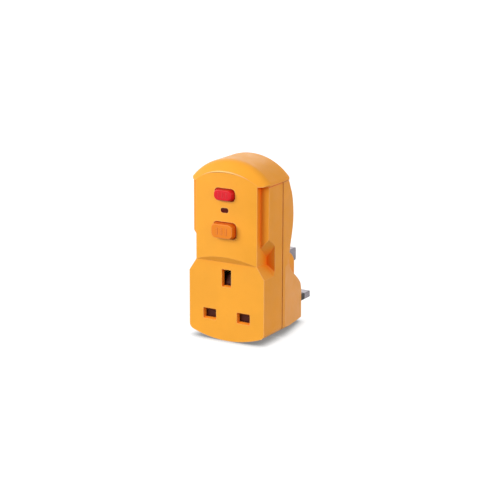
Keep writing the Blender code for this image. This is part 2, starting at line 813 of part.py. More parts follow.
def clip_outline(half_gap, base_y):
    """Side view of a forked contact: two sprung leaves that flare at the mouth."""
    leaf = (
        (half_gap + 0.7, CONTACT_FRONT_Y),
        (half_gap + 0.1, CONTACT_FRONT_Y + 2.2),
        (half_gap - 0.1, CONTACT_FRONT_Y + 6.0),
        (half_gap + 0.4, base_y - 2.0),
        (half_gap + 0.4, base_y),
    )
    path = [(y, gap) for gap, y in leaf]
    path += [(y, -gap) for gap, y in leaf[::-1]]
    return strip(path, CONTACT_THICK)


def build_socket_contacts(make):
    base_y = BASE_Y[0] - FIT - CONTACT_THICK / 2
    through = (BASE_Y[0] - 1, BASE_Y[1] + 1)
    half = HALF_WIDTH - WALL - BASE_MARGIN
    base = block((-half, half), BASE_Y, BASE_Z)
    base = make.add("socket_base", base, "white", (0, BASE_Y[0], 13.5))
    for label, side in LIVE_PINS:
        x = side * PIN_X
        outline = clip_outline(PIN_THICK / 2 + 0.6, base_y)
        outline = [(y, SOCKET_Z + z) for y, z in outline]
        leaves = slab(outline, "x", x - 2.6, x + 2.6)
        clip = make.add(label + "_contact", leaves, "brass", (x, base_y, SOCKET_Z))
        tail = block(
            (x - 1.6, x + 1.6), (base_y, BASE_Y[1] + 1.6), (SOCKET_Z - 0.4, SOCKET_Z + 0.4)
        )
        make.join(clip, label + "_contact_tail", tail)
        slot = block((x - 1.9, x + 1.9), through, (SOCKET_Z - 0.7, SOCKET_Z + 0.7))
        make.cut(base, "tail_slot_" + label, slot)
        for up in (-1, 1):
            middle = SOCKET_Z + up * 5.6
            depth = (BASE_Y[0] - 6.8, BASE_Y[0] + 0.5)
            fence = block((x - 5.0, x + 5.0), depth, (middle - 0.5, middle + 0.5))
            make.join(base, f"fence_{label}_{up}", fence)
    _, x, z, _ = SCREWS[1]
    for side, label in SIDES:
        make.cut(base, "boss_notch_" + label, rod((side * x, z), "y", 4.4, *through, 12))

    earth_z = SOCKET_Z + EARTH_RISE
    make.cut(base, "earth_window", block((-4.0, 4.0), through, (earth_z - 4.0, earth_z + 4.0)))
    earth_base_y = FRONT_Y + EARTH_LENGTH + 1.2
    outline = clip_outline(EARTH_THICK / 2 + 0.6, earth_base_y)
    outline = [(gap, y) for y, gap in outline]
    leaves = slab(outline, "z", earth_z - 3.4, earth_z + 3.4)
    make.add("earth_contact", leaves, "brass", (0, earth_base_y, earth_z))
    strap = block(
        (-2.8, 2.8),
        (earth_base_y + CONTACT_THICK / 2 + FIT, PIN_TAIL_Y - FIT),
        (EARTH_RISE - 0.5, EARTH_RISE + 0.5),
    )
    make.add("earth_strap", strap, "copper", (0, earth_base_y, EARTH_RISE))


def build_shutter(make):
    """The sprung shutter behind the slots, which an entering earth pin pushes down."""
    front = INNER_FRONT_Y + FIT
    plate_y = (front, front + 1.3)
    low, high = SOCKET_Z - 2.9, SOCKET_Z + 3.6
    half = PIN_X + SLOT_WIDE / 2 + 1.5
    plate = block((-half, half), plate_y, (low, high))
    plate = make.add("shutter", plate, "white", (0, front, SOCKET_Z))
    earth_z = SOCKET_Z + EARTH_RISE
    ramp_low, ramp_high = earth_z - 6.0, earth_z + 1.0
    make.join(plate, "shutter_stem", block((-3.0, 3.0), plate_y, (high - 0.6, ramp_low + 2.5)))
    ramp = (
        (front, ramp_low),
        (front + 2.6, ramp_low),
        (front + 2.6, ramp_high),
        (front + 2.0, ramp_high),
        (front, ramp_low + 2.0),
    )
    make.join(plate, "shutter_ramp", slab(ramp, "x", -2.4, 2.4))
    make.join(plate, "shutter_foot", block((-2.6, 2.6), (front + 0.9, front + 3.6), (low, low + 0.8)))
    coil_z = (BOTTOM_Z + WALL + SPRING_WIRE + FIT, low - SPRING_WIRE - FIT)
    coil = helix((0, front + 2.2), "z", 1.7, *coil_z, 5)
    make.thread("shutter_spring", coil, SPRING_WIRE, "steel")


# Buttons, indicator and switch


def button(make, name, finish, z, size, proud, face, stem_end):
    """A key with sloped sides and three ribs, with a flange behind the panel and a stem."""
    surface_y = FRONT_Y - PANEL_BULGE
    face_y = surface_y - proud
    cap_back = surface_y + 0.6
    outline = rounded_rectangle((0, z), size, 1.8)
    cap = slab(outline, "y", face_y, cap_back)
    cap = narrow_end(cap, "y", face_y, (0, 0, z), (face[0], 1, face[1]))
    key = make.add(name, cap, finish, (0, face_y, z))
    make.join(key, name + "_body", slab(outline, "y", cap_back - 0.01, FLANGE_BACK_Y))
    flange = block(
        (-size[0] / 2 - 1.2, size[0] / 2 + 1.2),
        (INNER_FRONT_Y + FIT, FLANGE_BACK_Y),
        (z - size[1] / 2 - 1.0, z + size[1] / 2 + 1.0),
    )
    make.join(key, name + "_flange", flange)
    make.join(key, name + "_stem", rod((0, z), "y", 1.8, FLANGE_BACK_Y - 0.5, stem_end, 12))
    for i in (-1, 0, 1):
        middle = i * size[0] * 0.2
        rib = block(
            (middle - 0.4, middle + 0.4),
            (face_y - 0.25, face_y + 0.5),
            (z - size[1] * 0.22, z + size[1] * 0.22),
        )
        make.join(key, f"{name}_rib_{i}", rib)


def build_buttons(make):
    test_front_y = -50.2
    thick = 0.35
    button(
        make, "test_button", "red", TEST_Z, TEST_SIZE, TEST_PROUD, TEST_FACE, test_front_y - 0.4
    )
    button(
        make,
        "reset_button",
        "amber",
        RESET_Z,
        RESET_SIZE,
        RESET_PROUD,
        RESET_FACE,
        CARRIER_Y[0] - 0.3,
    )
    coil_y = (FLANGE_BACK_Y + SPRING_WIRE + FIT, CHASSIS_Y[0] - SPRING_WIRE - FIT)
    make.thread("reset_spring", helix((0, RESET_Z), "y", 3.0, *coil_y, 3.5), SPRING_WIRE, "steel")

    foot_y = CHASSIS_Y[0] - FIT - thick / 2
    leaf = [
        (foot_y, TEST_Z - 7.6),
        (foot_y, TEST_Z - 5.0),
        (test_front_y, TEST_Z - 1.8),
        (test_front_y, TEST_Z + 2.4),
    ]
    spring = slab(strip(leaf, thick), "x", -2.0, 2.0)
    make.add("test_spring", spring, "copper", (0, foot_y, TEST_Z - 7.6))
    pad = rod((0, TEST_Z), "y", 1.5, CHASSIS_Y[0] - 1.1, CHASSIS_Y[0] - FIT, 12, 1.1)
    make.add("test_contact", pad, "nickel", (0, CHASSIS_Y[0], TEST_Z))

    lens_y = FRONT_Y - PANEL_BULGE + 0.3
    size = (WINDOW_SIZE[0] - 2 * WINDOW_FIT, WINDOW_SIZE[1] - 2 * WINDOW_FIT)
    lens = slab(rounded_rectangle((0, WINDOW_Z), size, 0.7), "y", lens_y, INNER_FRONT_Y + 0.5)
    window = make.add("indicator_window", lens, "smoke", (0, lens_y, WINDOW_Z))
    back = block(
        (-4.0, 4.0),
        (INNER_FRONT_Y + FIT, INNER_FRONT_Y + 0.9),
        (WINDOW_Z - 2.6, WINDOW_Z + 2.4),
    )
    make.join(window, "window_flange", back)


def build_flag(make):
    """The indicator flag, turned by a fork on the contact carrier."""
    pivot = (FLAG_PIVOT_Y, WINDOW_Z)
    rim_y = FLAG_PIVOT_Y - FLAG_RADIUS + 0.3
    sector = arc(pivot, FLAG_RADIUS, 128, 228, 10)
    sector += arc(pivot, FLAG_RADIUS - 0.8, 228, 128, 10)
    flag = make.add("indicator_flag", slab(sector, "x", -3.0, 3.0), "red", (0, *pivot))
    web = (
        (rim_y, WINDOW_Z + 1.6),
        (rim_y, WINDOW_Z - 1.6),
        (FLAG_PIVOT_Y, WINDOW_Z - 1.0),
        (FLAG_PIVOT_Y, WINDOW_Z + 1.0),
    )
    make.join(flag, "flag_web", slab(web, "x", -0.8, 0.8))
    make.join(flag, "flag_axle", rod(pivot, "x", 0.9, -5.2, 5.2, 12))
    make.join(flag, "flag_hub", rod(pivot, "x", 1.4, -1.2, 1.2, 12))
    pin_z = WINDOW_Z - FLAG_ARM
    arm = block((-0.7, 0.7), (FLAG_PIVOT_Y - 0.5, FLAG_PIVOT_Y + 0.5), (pin_z - 0.2, WINDOW_Z))
    make.join(flag, "flag_arm", arm)
    make.join(flag, "flag_pin", rod((FLAG_PIVOT_Y, pin_z), "x", 0.6, -1.5, 1.5, 8))


def mirrored(side, near, far):
    """The limits along X of a block on one side of the middle."""
    return tuple(sorted((side * near, side * far)))


def build_chassis(make):
    """The moulded frame that carries the switch, standing on the circuit board."""
    half = CHASSIS_HALF_WIDTH
    neck = SCREWS[0][1] - SCREW_HEAD - 4 * FIT
    low, shoulder, high = CHASSIS_Z
    outline = (
        (-neck, high),
        (-neck, shoulder),
        (-half, shoulder),
        (-half, low),
        (half, low),
        (half, shoulder),
        (neck, shoulder),
        (neck, high),
    )
    plate = slab(outline, "y", *CHASSIS_Y)
    chassis = make.add("mechanism_chassis", plate, "white", (0, CHASSIS_Y[0], 61))
    through = (CHASSIS_Y[0] - 1.8, CHASSIS_Y[1] + 2.0)
    make.cut(chassis, "stem_hole", rod((0, RESET_Z), "y", 2.2, *through, 16))
    make.cut(chassis, "fork_slot", block((-2.2, 2.2), through, (FORK_LOW_Z - 0.8, FORK_LOW_Z + 5.2)))
    for side, label in SIDES:
        for z in CHASSIS_LEGS_Z:
            leg = block(
                mirrored(side, half - CHASSIS_LEG - 0.1, half - 0.1),
                (CHASSIS_Y[0] + 0.4, BOARD_Y[0] - FIT),
                (z - 1.3, z + 1.3),
            )
            make.join(chassis, f"leg_{z:.0f}_{label}", leg)
        ear = block(
            mirrored(side, 3.6, 4.9),
            (FLAG_PIVOT_Y - 2.0, CHASSIS_Y[0] + 0.4),
            (WINDOW_Z - 2.0, WINDOW_Z + 2.0),
        )
        make.join(chassis, "ear_" + label, ear)
    make.cut(chassis, "ear_bore", rod((FLAG_PIVOT_Y, WINDOW_Z), "x", 1.1, -7.0, 7.0, 12))


def build_carrier(make):
    """The sliding contact carrier, with the fork that turns the flag."""
    spread = (BRIDGE_Z[0] + 0.6, BRIDGE_Z[1] - 0.6)
    half = BRIDGE_X - 2.1
    bar = block((-half, half), CARRIER_Y, spread)
    carrier = make.add("contact_carrier", bar, "black", (0, CARRIER_Y[0], RESET_Z))
    mast = block((-2.1, 2.1), CARRIER_Y, (BRIDGE_Z[1] - 1.0, FORK_LOW_Z + 5.4))
    make.join(carrier, "carrier_mast", mast)
    reach = block(
        (-1.7, 1.7), (FLAG_PIVOT_Y + 0.9, CARRIER_Y[1]), (FORK_LOW_Z, FORK_LOW_Z + 2.8)
    )
    make.join(carrier, "carrier_reach", reach)
    for side, label in SIDES:
        across = mirrored(side, half - 0.4, BRIDGE_X + 1.9)
        arm = block(across, CARRIER_Y, (RESET_Z - 1.6, RESET_Z + 1.6))
        make.join(carrier, "carrier_arm_" + label, arm)
        across = mirrored(side, 0.95, 1.7)
        cheek = block(
            across, (FLAG_PIVOT_Y - 1.9, FLAG_PIVOT_Y + 1.2), (FORK_LOW_Z, FORK_LOW_Z + 1.1)
        )
        make.join(carrier, "fork_cheek_" + label, cheek)
        finger = block(
            across, (FLAG_PIVOT_Y - 1.9, FLAG_PIVOT_Y - 0.9), (FORK_LOW_Z, FORK_LOW_Z + 2.8)
        )
        make.join(carrier, "fork_finger_" + label, finger)
    coil_y = (CARRIER_Y[1] + SPRING_WIRE + FIT, BOARD_Y[0] - SPRING_WIRE - FIT)
    coil = helix((0, FORK_LOW_Z + 3.5), "y", 1.7, *coil_y, 6)
    make.thread("carrier_spring", coil, SPRING_WIRE, "steel")


def build_switch(make):
    """The bridges that the carrier moves, and the posts that they close on."""
    bar_y = (CARRIER_Y[1] + FIT, CARRIER_Y[1] + FIT + BAR_THICK)
    rivet_y = (bar_y[1] - 0.2, bar_y[1] + 0.7)
    post_y = rivet_y[1] + RESET_TRAVEL + FIT
    for label, side in LIVE_PINS:
        x = side * BRIDGE_X
        bar = block((x - 1.5, x + 1.5), bar_y, (BRIDGE_Z[0] - 1.2, BRIDGE_Z[1] + 1.2))
        bar = make.add(label + "_bridge", bar, "copper", (x, bar_y[0], RESET_Z))
        for end, z in (("outlet", BRIDGE_Z[0]), ("inlet", BRIDGE_Z[1])):
            make.join(bar, f"{label}_{end}_rivet", rod((x, z), "y", 1.1, *rivet_y, 10))
            pad = rod((x, z), "y", 1.3, post_y, post_y + 0.8, 10)
            post = make.add(f"{label}_{end}_contact", pad, "nickel", (x, post_y, z))
            leg = block((x - 0.9, x + 0.9), (post_y + 0.6, BOARD_Y[0] - FIT), (z - 0.9, z + 0.9))
            make.join(post, f"{label}_{end}_leg", leg)


def build_magnet(make):
    """The holding magnet on the board, and the plate on the carrier that it holds."""
    centre = (0, RESET_Z)
    origin = (0, POLE_Y, RESET_Z)
    back = BOARD_Y[0] - FIT
    plate = block((-5.5, 5.5), ARMATURE_Y, (RESET_Z - 3.6, RESET_Z + 3.6))
    make.add("armature_plate", plate, "steel", (0, ARMATURE_Y[0], RESET_Z))
    cheek = rod(centre, "y", 5.4, POLE_Y + 0.6, POLE_Y + 1.3, 20)
    bobbin = make.add("magnet_bobbin", cheek, "white", origin)
    make.join(bobbin, "bobbin_back", rod(centre, "y", 5.4, back - 0.9, back - FIT, 20))
    make.join(bobbin, "bobbin_tube", rod(centre, "y", 2.7, POLE_Y + 0.6, back - FIT, 16))
    make.cut(bobbin, "bobbin_bore", rod(centre, "y", 2.1, POLE_Y - 1, back + 1, 16))
    coil = rod(centre, "y", 5.0, POLE_Y + 1.3 + FIT, back - 0.9 - FIT, 24)
    coil = make.add("magnet_coil", coil, "copper", origin)
    make.cut(coil, "coil_bore", rod(centre, "y", 2.7 + FIT, POLE_Y, back, 16))
    make.add("magnet_core", rod(centre, "y", 2.1 - FIT, POLE_Y, back - FIT, 16), "steel", origin)


# Board, sensing ring and conductors


def build_board(make):
    middle_z = sum(BOARD_Z) / 2
    size = (2 * (HALF_WIDTH - WALL - BOARD_MARGIN), BOARD_Z[1] - BOARD_Z[0])
    outline = rounded_rectangle((0, middle_z), size, 1.0, 2)
    make.add("circuit_board", slab(outline, "y", *BOARD_Y), "board", (0, BOARD_Y[0], middle_z))
    front = BOARD_Y[0] - FIT
    capacitor = block((2.6 - INLET_BAR_INNER_X, 0.2), (front - 5.2, front), (39.4, 44.4))
    make.add("filter_capacitor", capacitor, "blue", (0.2, front, 39.4))
    disc = rod((4.7, front - 3.3), "z", 3.4, 40.2, 42.8, 18)
    varistor = make.add("surge_varistor", disc, "tan", (4.7, front, 41.5))
    make.cut(varistor, "varistor_foot", block((0, 20), (front, front + 5), (38, 45)))
    chip_x = CHIP_LEG_GAP + 0.1 + CHASSIS_LEG - CHASSIS_HALF_WIDTH
    chip_high = BOARD_Z[1] - 0.4
    chip = block(
        (chip_x, chip_x + CHIP_SIZE[0]), (front - 1.8, front), (chip_high - CHIP_SIZE[1], chip_high)
    )
    make.add("control_chip", chip, "black", (chip_x, front, chip_high))
    axis = (front - 1.5, 65.8)
    resistor = make.add("test_resistor", rod(axis, "x", 1.2, 4.4, 11.2, 12), "tan", (8, *axis))
    for x in (4.9, 10.7):
        make.join(resistor, f"resistor_cap_{x}", rod(axis, "x", 1.4, x - 0.6, x + 0.6, 12))


def build_sensor(make):
    """The ring that senses a leak, and the winding on the half away from the wires."""
    x, y, z = TOROID_CENTRE
    inner, outer, half_deep = 5.4, 8.2, 3.0
    ring = rod((x, z), "y", outer, y - half_deep, y + half_deep, 32)
    core = make.add("sensing_core", ring, "ferrite", TOROID_CENTRE)
    make.cut(core, "core_bore", rod((x, z), "y", inner, y - 4, y + 4, 24))
    turns, steps = 16, 8
    start, reach = math.radians(145), math.radians(250)
    across = (outer - inner) / 2 + 1.07
    along = half_deep + 1.31
    path = []
    for step in range(turns * steps + 1):
        angle = start + reach * step / (turns * steps)
        roll = 2 * math.pi * step / steps
        radius = (outer + inner) / 2 + across * math.cos(roll)
        depth = along * math.sin(roll)
        path.append((x + radius * math.cos(angle), y + depth, z + radius * math.sin(angle)))
    make.thread("sensing_winding", path, 0.2, "copper", 1)


# Route of the line outlet wire from its post, through the ring to its socket contact
WIRE_ROUTE = (
    (10.2, -33.0, 45.2),
    (9.4, -33.4, 38.0),
    (6.4, -33.6, 29.0),
    (4.9, -33.7, 20.0),
    (2.4, -33.6, 9.5),
    (1.7, -31.6, 5.6),
    (1.7, -26.5, 5.0),
    (2.0, -22.6, 4.0),
    (4.6, -21.6, -1.0),
    (7.4, -23.6, -5.6),
    (8.4, -28.5, -6.2),
    (9.4, -32.0, -3.4),
    (10.4, -32.9, 0.6),
)
WIRE_RADIUS = 0.9


def build_conductors(make):
    rise_y = BOARD_Y[0] - FIT - 0.5
    level = 2.1
    pin_side = (PIN_X + 0.29, PIN_X + 0.29 + INLET_BAR_WIDE)
    bridge_side = (INLET_BAR_INNER_X, INLET_BAR_OUTER_X)
    step = (min(pin_side[0], bridge_side[0]), max(pin_side[1], bridge_side[1]))
    half = BAR_THICK / 2
    flat = (level - half, level + half)
    rise = (rise_y - half, rise_y + half)
    for label, side in LIVE_PINS:
        name = label + "_inlet_bar"
        foot = block(mirrored(side, *pin_side), (rise[0], PIN_TAIL_Y + 4.0), flat)
        bar = make.add(name, foot, "copper", (side * BRIDGE_X, rise_y, level))
        make.join(bar, name + "_step", block(mirrored(side, *step), rise, flat))
        make.join(bar, name + "_riser", block(mirrored(side, *bridge_side), rise, (flat[0], 43.2)))
        route = smooth_path([(side * x, y, z) for x, y, z in WIRE_ROUTE], 3)
        finish = "tan" if label == "line" else "blue"
        make.thread(label + "_outlet_wire", route, WIRE_RADIUS, finish, 1)


def build_screws(make):
    for level, x, z, seat in SCREWS:
        for side, label in SIDES:
            name = f"case_screw_{level}_{label}"
            centre = (side * x, z)
            head = rod(centre, "y", SCREW_HEAD, seat + FIT, seat + 2.0, 14)
            screw = make.add(name, head, "steel", (side * x, seat, z))
            shank = rod(centre, "y", SCREW_SHANK, SEAM_Y - SCREW_REACH, seat + 0.8, 10)
            make.join(screw, name + "_shank", shank)
            for i, (half_x, half_z) in enumerate(((1.6, 0.3), (0.3, 1.6))):
                arm = block(
                    (side * x - half_x, side * x + half_x),
                    (seat + 1.2, seat + 3.0),
                    (z - half_z, z + half_z),
                )
                make.cut(screw, f"{name}_cross_{i}", arm)


def shade_pieces(make):
    for piece in make.parts.objects:
        if piece.type != "MESH":
            continue
        piece.data.shade_smooth()
        piece.data.set_sharp_from_angle(angle=math.radians(30))


def build():
    clear_scene()
    make = Builder()
    build_front_shell(make)
    build_rear_shell(make)
    build_pins(make)
    build_socket_contacts(make)
    build_shutter(make)
    build_buttons(make)
    build_flag(make)
    build_chassis(make)
    build_carrier(make)
    build_switch(make)
    build_magnet(make)
    build_board(make)
    build_sensor(make)
    build_conductors(make)
    build_screws(make)
    shade_pieces(make)


build()
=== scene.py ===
"""Looks of a plug-through safety adapter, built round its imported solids.

The solids are in metres, with the socket face towards -Y, the pins towards +Y and +Z up.
Lengths here are written in millimetres and scaled once, when a piece is made.
"""

import json
import math

import bmesh
import bpy
from mathutils import Matrix, Vector
from mathutils.geometry import interpolate_bezier


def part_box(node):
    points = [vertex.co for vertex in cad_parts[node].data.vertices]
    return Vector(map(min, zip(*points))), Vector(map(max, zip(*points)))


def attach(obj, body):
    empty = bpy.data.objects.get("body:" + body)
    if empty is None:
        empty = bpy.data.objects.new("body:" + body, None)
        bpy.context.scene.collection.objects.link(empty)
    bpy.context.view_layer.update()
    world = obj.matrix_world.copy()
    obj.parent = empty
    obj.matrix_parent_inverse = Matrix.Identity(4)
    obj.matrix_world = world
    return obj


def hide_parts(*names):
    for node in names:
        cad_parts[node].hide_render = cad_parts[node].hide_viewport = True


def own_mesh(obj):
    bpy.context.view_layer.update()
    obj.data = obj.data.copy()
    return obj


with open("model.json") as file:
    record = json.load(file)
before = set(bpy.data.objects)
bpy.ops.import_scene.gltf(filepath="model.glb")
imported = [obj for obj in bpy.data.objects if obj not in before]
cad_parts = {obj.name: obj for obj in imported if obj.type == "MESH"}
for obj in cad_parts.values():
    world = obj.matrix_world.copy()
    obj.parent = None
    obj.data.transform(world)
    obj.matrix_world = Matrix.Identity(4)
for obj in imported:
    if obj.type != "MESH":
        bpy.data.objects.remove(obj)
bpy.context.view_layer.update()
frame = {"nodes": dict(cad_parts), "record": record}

MM = 0.001
FIT = 0.2
SIDES = ((1, "right"), (-1, "left"))
LIVE_PINS = (("line", 1), ("neutral", -1))

# How far cutters reach past what they cut
OVERCUT = 2.0
OVERCUT_INSIDE = 3.0
OVERCUT_OUTSIDE = 6.0
FAR = 30.0

# Corners nearer than this are one corner, and faces that turn less than this are one face
WELD = 0.01
FLAT = math.radians(0.3)

# Case
HALF_WIDTH = 24.6
WALL = 2.2
FRONT_Y = -57.3
INNER_FRONT_Y = -54.9
BOTTOM_Z = -12.3
BOTTOM_SAG = 4.9
BOTTOM_CORNER = 3.6
LEAST_CORNER = 1.0

# Seam between the shells, and the tongue of the rear shell that fits into the front one
SEAM_Y = -36.3
SEAM_GAP = 0.9
TONGUE_LENGTH = 2.0
TONGUE_INSET = 1.2
TONGUE_ROOT = (0.3, 1.6)
TONGUE_ROOT_TOP_Z = 78.3
TONGUE_CLEARING = 4.0

# Dome
DOME_BACK_Y = -28.8
DOME_EDGE = 1.4
DOME_OVERLAP = 0.7
LIP_Z = 79.3
LIP_PROUD = 0.4
LIP_GROOVE = 0.5
ARCH_RADIUS = 32.6
ARCH_CENTRE_Z = 59.4
ARCH_CORNER = 1.5

# Cone at the front of the dome
CHAMFER_BACK_Y = FRONT_Y + 7.0
CHAMFER_BEND_Y = FRONT_Y + 2.2
CHAMFER_BEND = 2.2
CHAMFER_REACH = 9.0
# How far its back, and its bend outwards and back, move for each millimetre of wall
CHAMFER_BACK_SHIFT = 0.3
CHAMFER_BEND_SHIFT = (0.1, 0.55)
# How far the handles of its bend lie from the corner, and the share that they are pulled in
CHAMFER_NIP = 0.1
CHAMFER_PULLS = (0.7, 0.6)

# Cut at the dome's low front corners: X past the side, Y past the front, then the levels
# past the lip and how far the cut leans out at the upper one
FADE_OUTLINE = ((0.3, 5.7), (-2.4, 0.7), (-0.6, -4.7))
FADE_OUTER = 7.4
FADE_LOW = -0.2
FADE_HIGH = 5.0
FADE_LEAN = 2.2

# Front panel and finger grips
PANEL_HALF_WIDTH = 19.9
PANEL_BULGE = 2.0
PANEL_OVERLAP = 0.6
PANEL_ROOT = 2.0
PANEL_TOP_Z = 90.0
LENS_LOW_Z = 33.7
LENS_HIGH_Z = 37.3
POCKET_SILL = 1.2
# Depths along Y of the channel and the pocket, then levels, at the panel and at the side
GRIP_PARTS = ("channel", "pocket", "front_low", "low", "high", "ramp")
GRIP_INNER = dict(zip(GRIP_PARTS, (-53.4, -46.4, 33.7, 33.1, 37.4, 43.6)))
GRIP_OUTER = dict(zip(GRIP_PARTS, (-52.1, -45.4, 26.6, 29.1, 44.0, 49.0)))
GRIP_DRAFT = 1.9

# Back of the case
BACK_PROFILE = (
    (-29.0, 79.0),
    (-26.6, 74.4),
    (-24.2, 69.5),
    (-22.6, 61.5),
    (-22.6, 54.0),
    (-24.2, 47.0),
    (-26.6, 39.5),
    (-27.5, 32.5),
    (-25.9, 28.6),
    (-22.2, 25.0),
    (-17.1, 21.6),
    (-10.0, 17.4),
    (-4.6, 13.8),
    (-1.6, 10.9),
    (0.0, 6.4),
)
BACK_PROFILE_START = 1.0
BACK_PROFILE_TOP_Z = 85.0
BACK_PROFILE_LOW_Z = -20.0
PLUG_FACE_PAST = 1.0
TAPER_START_Y = -33.0
TAPER_END_Y = 8.0
PLUG_HALF_WIDTH = 17.2
UPPER_TAPER = 0.08
TAPER_LOW_Z = 22.0
TAPER_HIGH_Z = 38.0
TAPER_TOP_Z = 100.0
TAPER_OUTER = 10.0
EARTH_BLOCK_HALF_WIDTH = 12.2
EARTH_BLOCK_TOP_Z = 29.2
EARTH_BLOCK_CORNER = 6.0
EARTH_BLOCK_FRONT_Y = -30.5
# Share of the wall behind the earth block, just off the wall's own face
EARTH_BLOCK_WALL = 1.005

# Pins and slots
PIN_X = 11.11
EARTH_RISE = 22.23
SOCKET_Z = 2.3
PIN_SIZE = (6.35, 4.0)
PIN_LENGTH = 17.7
PIN_CORNER = 0.5
EARTH_SIZE = (4.0, 8.0)
EARTH_LENGTH = 22.7
# Length of a tip, and the shares of width and height that are left at its end
PIN_TIP = (1.8, 0.68, 0.5)
EARTH_TIP = (2.6, 0.5, 0.55)
# Share of the tip's length, and share of its taper
TIP_BEND = ((0.15, 0.04), (0.4, 0.24), (0.7, 0.58), (0.9, 0.86), (1.0, 1.0))
# Half width and half height of what holds each pin in the case, and their depths along Y
PIN_NECK = (2.3, 1.2)
PIN_FLANGE = (4.2, 3.2)
PIN_TAIL = (2.6, 1.4)
EARTH_FLANGE = (3.6, 4.6)
EARTH_TAIL = (1.8, 3.0)
PIN_ROOT_Y = -3.2
PIN_FLANGE_Y = (-3.8, -2.4)
PIN_TAIL_Y = (-9.0, PIN_ROOT_Y)
PIN_HOLE_CORNER = 0.6
PIN_HOLE_FRONT_Y = -4.2
SLEEVE_LENGTH = 9.5
PIN_NECK_Y = (PIN_ROOT_Y, SLEEVE_LENGTH + 1.0)
SLEEVE_FRONT_Y = -2.1
SLEEVE_GAP = 0.05
SLEEVE_BORE = (2.55, 1.4)
SLEEVE_BORE_Y = (-4.0, SLEEVE_LENGTH + 1.0)
# Length of the sleeve's softened end, and the shares of width and height left there
SLEEVE_END = (0.25, 0.96, 0.93)
SLOT_SIZE = (7.2, 4.8)
SLOT_CORNER = 0.35
EARTH_SLOT_SIZE = (5.3, 9.0)
# X, Z and size of each slot, then how far its lead-in reaches past it along X and Z
SLOTS = (
    (PIN_X, SOCKET_Z, SLOT_SIZE, (0.65, 0.85)),
    (-PIN_X, SOCKET_Z, SLOT_SIZE, (0.65, 0.85)),
    (0.0, SOCKET_Z + EARTH_RISE, EARTH_SLOT_SIZE, (0.4, 0.65)),
)
LEAD_IN_DEPTH = 1.4

# Buttons and window
TEST_Z = 73.4
TEST_SIZE = (13.0, 6.9)
TEST_PROUD = 2.4
TEST_FACE = (0.82, 0.80)
RESET_Z = 53.0
RESET_SIZE = (14.6, 9.2)
RESET_PROUD = 3.4
RESET_FACE = (0.90, 0.84)
KEY_CORNER = 2.5
# Share of the way from base to face, and share of the height
KEY_PROFILE = ((0.0, 0.0), (0.66, 0.78), (0.74, 0.88), (0.85, 0.95), (1.0, 1.0))
# Depths behind the panel's middle where a key's straight part ends and its profile starts
KEY_BASE = 0.6
KEY_SUNK = 0.1
# Height of the crowned middle of a face, and its share of the face
KEY_CROWN = (0.08, 0.8)
KEY_FLANGE = (1.2, 1.0)
KEY_FLANGE_BACK_Y = -53.3
KEY_STEM_RADIUS = 1.8
KEY_STEM_OVERLAP = 0.5
# Ribs on a face: share of the width from one to the next, width and share of the height
RIB_STEP = 0.2
RIB_WIDTH = 1.0
RIB_HEIGHT = 0.44
RIB_CORNER = 0.45
RIB_SOFT = 0.2
RIB_Y = (-0.24, 0.6)
WINDOW_Z = 64.4
WINDOW_SIZE = (5.0, 2.8)
WINDOW_CORNER = 1.3
FLAG_RED_Z = 65.5
FLAG_RED_FADE = 0.1

# Raised line over the panel: half its span, radius, height past the cone's start and the
# share of its length over which it fades at each end
BEAD_SPAN = 15.5
BEAD_RADIUS = 0.52
BEAD_RISE = 0.35
BEAD_FADE = 0.34
BEAD_THINNEST = 0.05

# Screws, as level, X, Z, the depth of the seat and how far the tube goes past it
SCREWS = (("upper", 16.0, 72.0, -30.6, 3.6), ("lower", 18.6, 31.5, -29.4, 1.4))
SCREW_HEAD = 2.7
SCREW_RIM = 1.0
SCREW_SHANK = 1.05
SCREW_OVERLAP = 0.2
SCREW_HOLE = 1.7
SCREW_HOLE_REACH = 9.0
# Shares of the head's radius and of its crown's height, which is that of its rim
SCREW_CROWN = ((0.94, 0.45), (0.8, 0.75), (0.55, 0.94))
# Half length and half width of each arm of the cross, and its depths past the seat
SCREW_CROSS = (1.6, 0.28)
SCREW_CROSS_Y = (0.9, 3.0)
RECESS_REACH = 18.0
# The recess is cut again through the tube, a hair smaller, so that no two faces coincide
RECESS_RECUT = 0.05
TUBE_WALL = 0.7
TUBE_START = 0.15

# Springs, as node, joint, axis, the end that stays and how far the other end comes
SPRINGS = (
    ("shutter_spring", "shutter_slide", "z", "low", 6.0),
    ("reset_spring", "reset_press", "y", "high", 2.5),
    ("carrier_spring", "carrier_slide", "y", "high", 2.5),
    ("test_spring", "test_press", "y", "high", 1.5),
)

# Softness of moulded edges, and the angle above which an edge is sharp
EDGE_SOFT = 0.45
SHARP = math.radians(24)
# Degrees between faces above which their shading isn't blended
PIECE_FLAT = 35
SHELL_FLAT = 9

# Studio. Lamps and the floor's reach are in metres.
LAMP_TARGET = (0.0, -30.0, 40.0)
# Name, azimuth, elevation and distance, then width, power and colour
LAMPS = (
    ("key", -35.0, 22.0, 2.4, 1.4, 58.0, (1.0, 1.0, 1.0)),
    ("fill", 80.0, 14.0, 2.4, 1.6, 34.0, (1.0, 0.82, 0.64)),
    ("back", -152.0, 32.0, 2.4, 1.4, 8.0, (1.0, 1.0, 1.0)),
)
WORLD_LIGHT = 0.34
FLOOR_REACH = 6.0
FLOOR_GAP = 0.05
FLOOR_GREY = (0.10, 0.10, 0.10, 1.0)
WHITE = (1.0, 1.0, 1.0, 1.0)
# Brightness of the open floor and of the painted contact shadow where it touches, then the
# reach of that shadow in metres and the range of openness between the two
FLOOR_LIFT = 0.95
CONTACT_LIFT = 0.2
CONTACT_REACH = 0.006
CONTACT_RANGE = (0.25, 0.95)
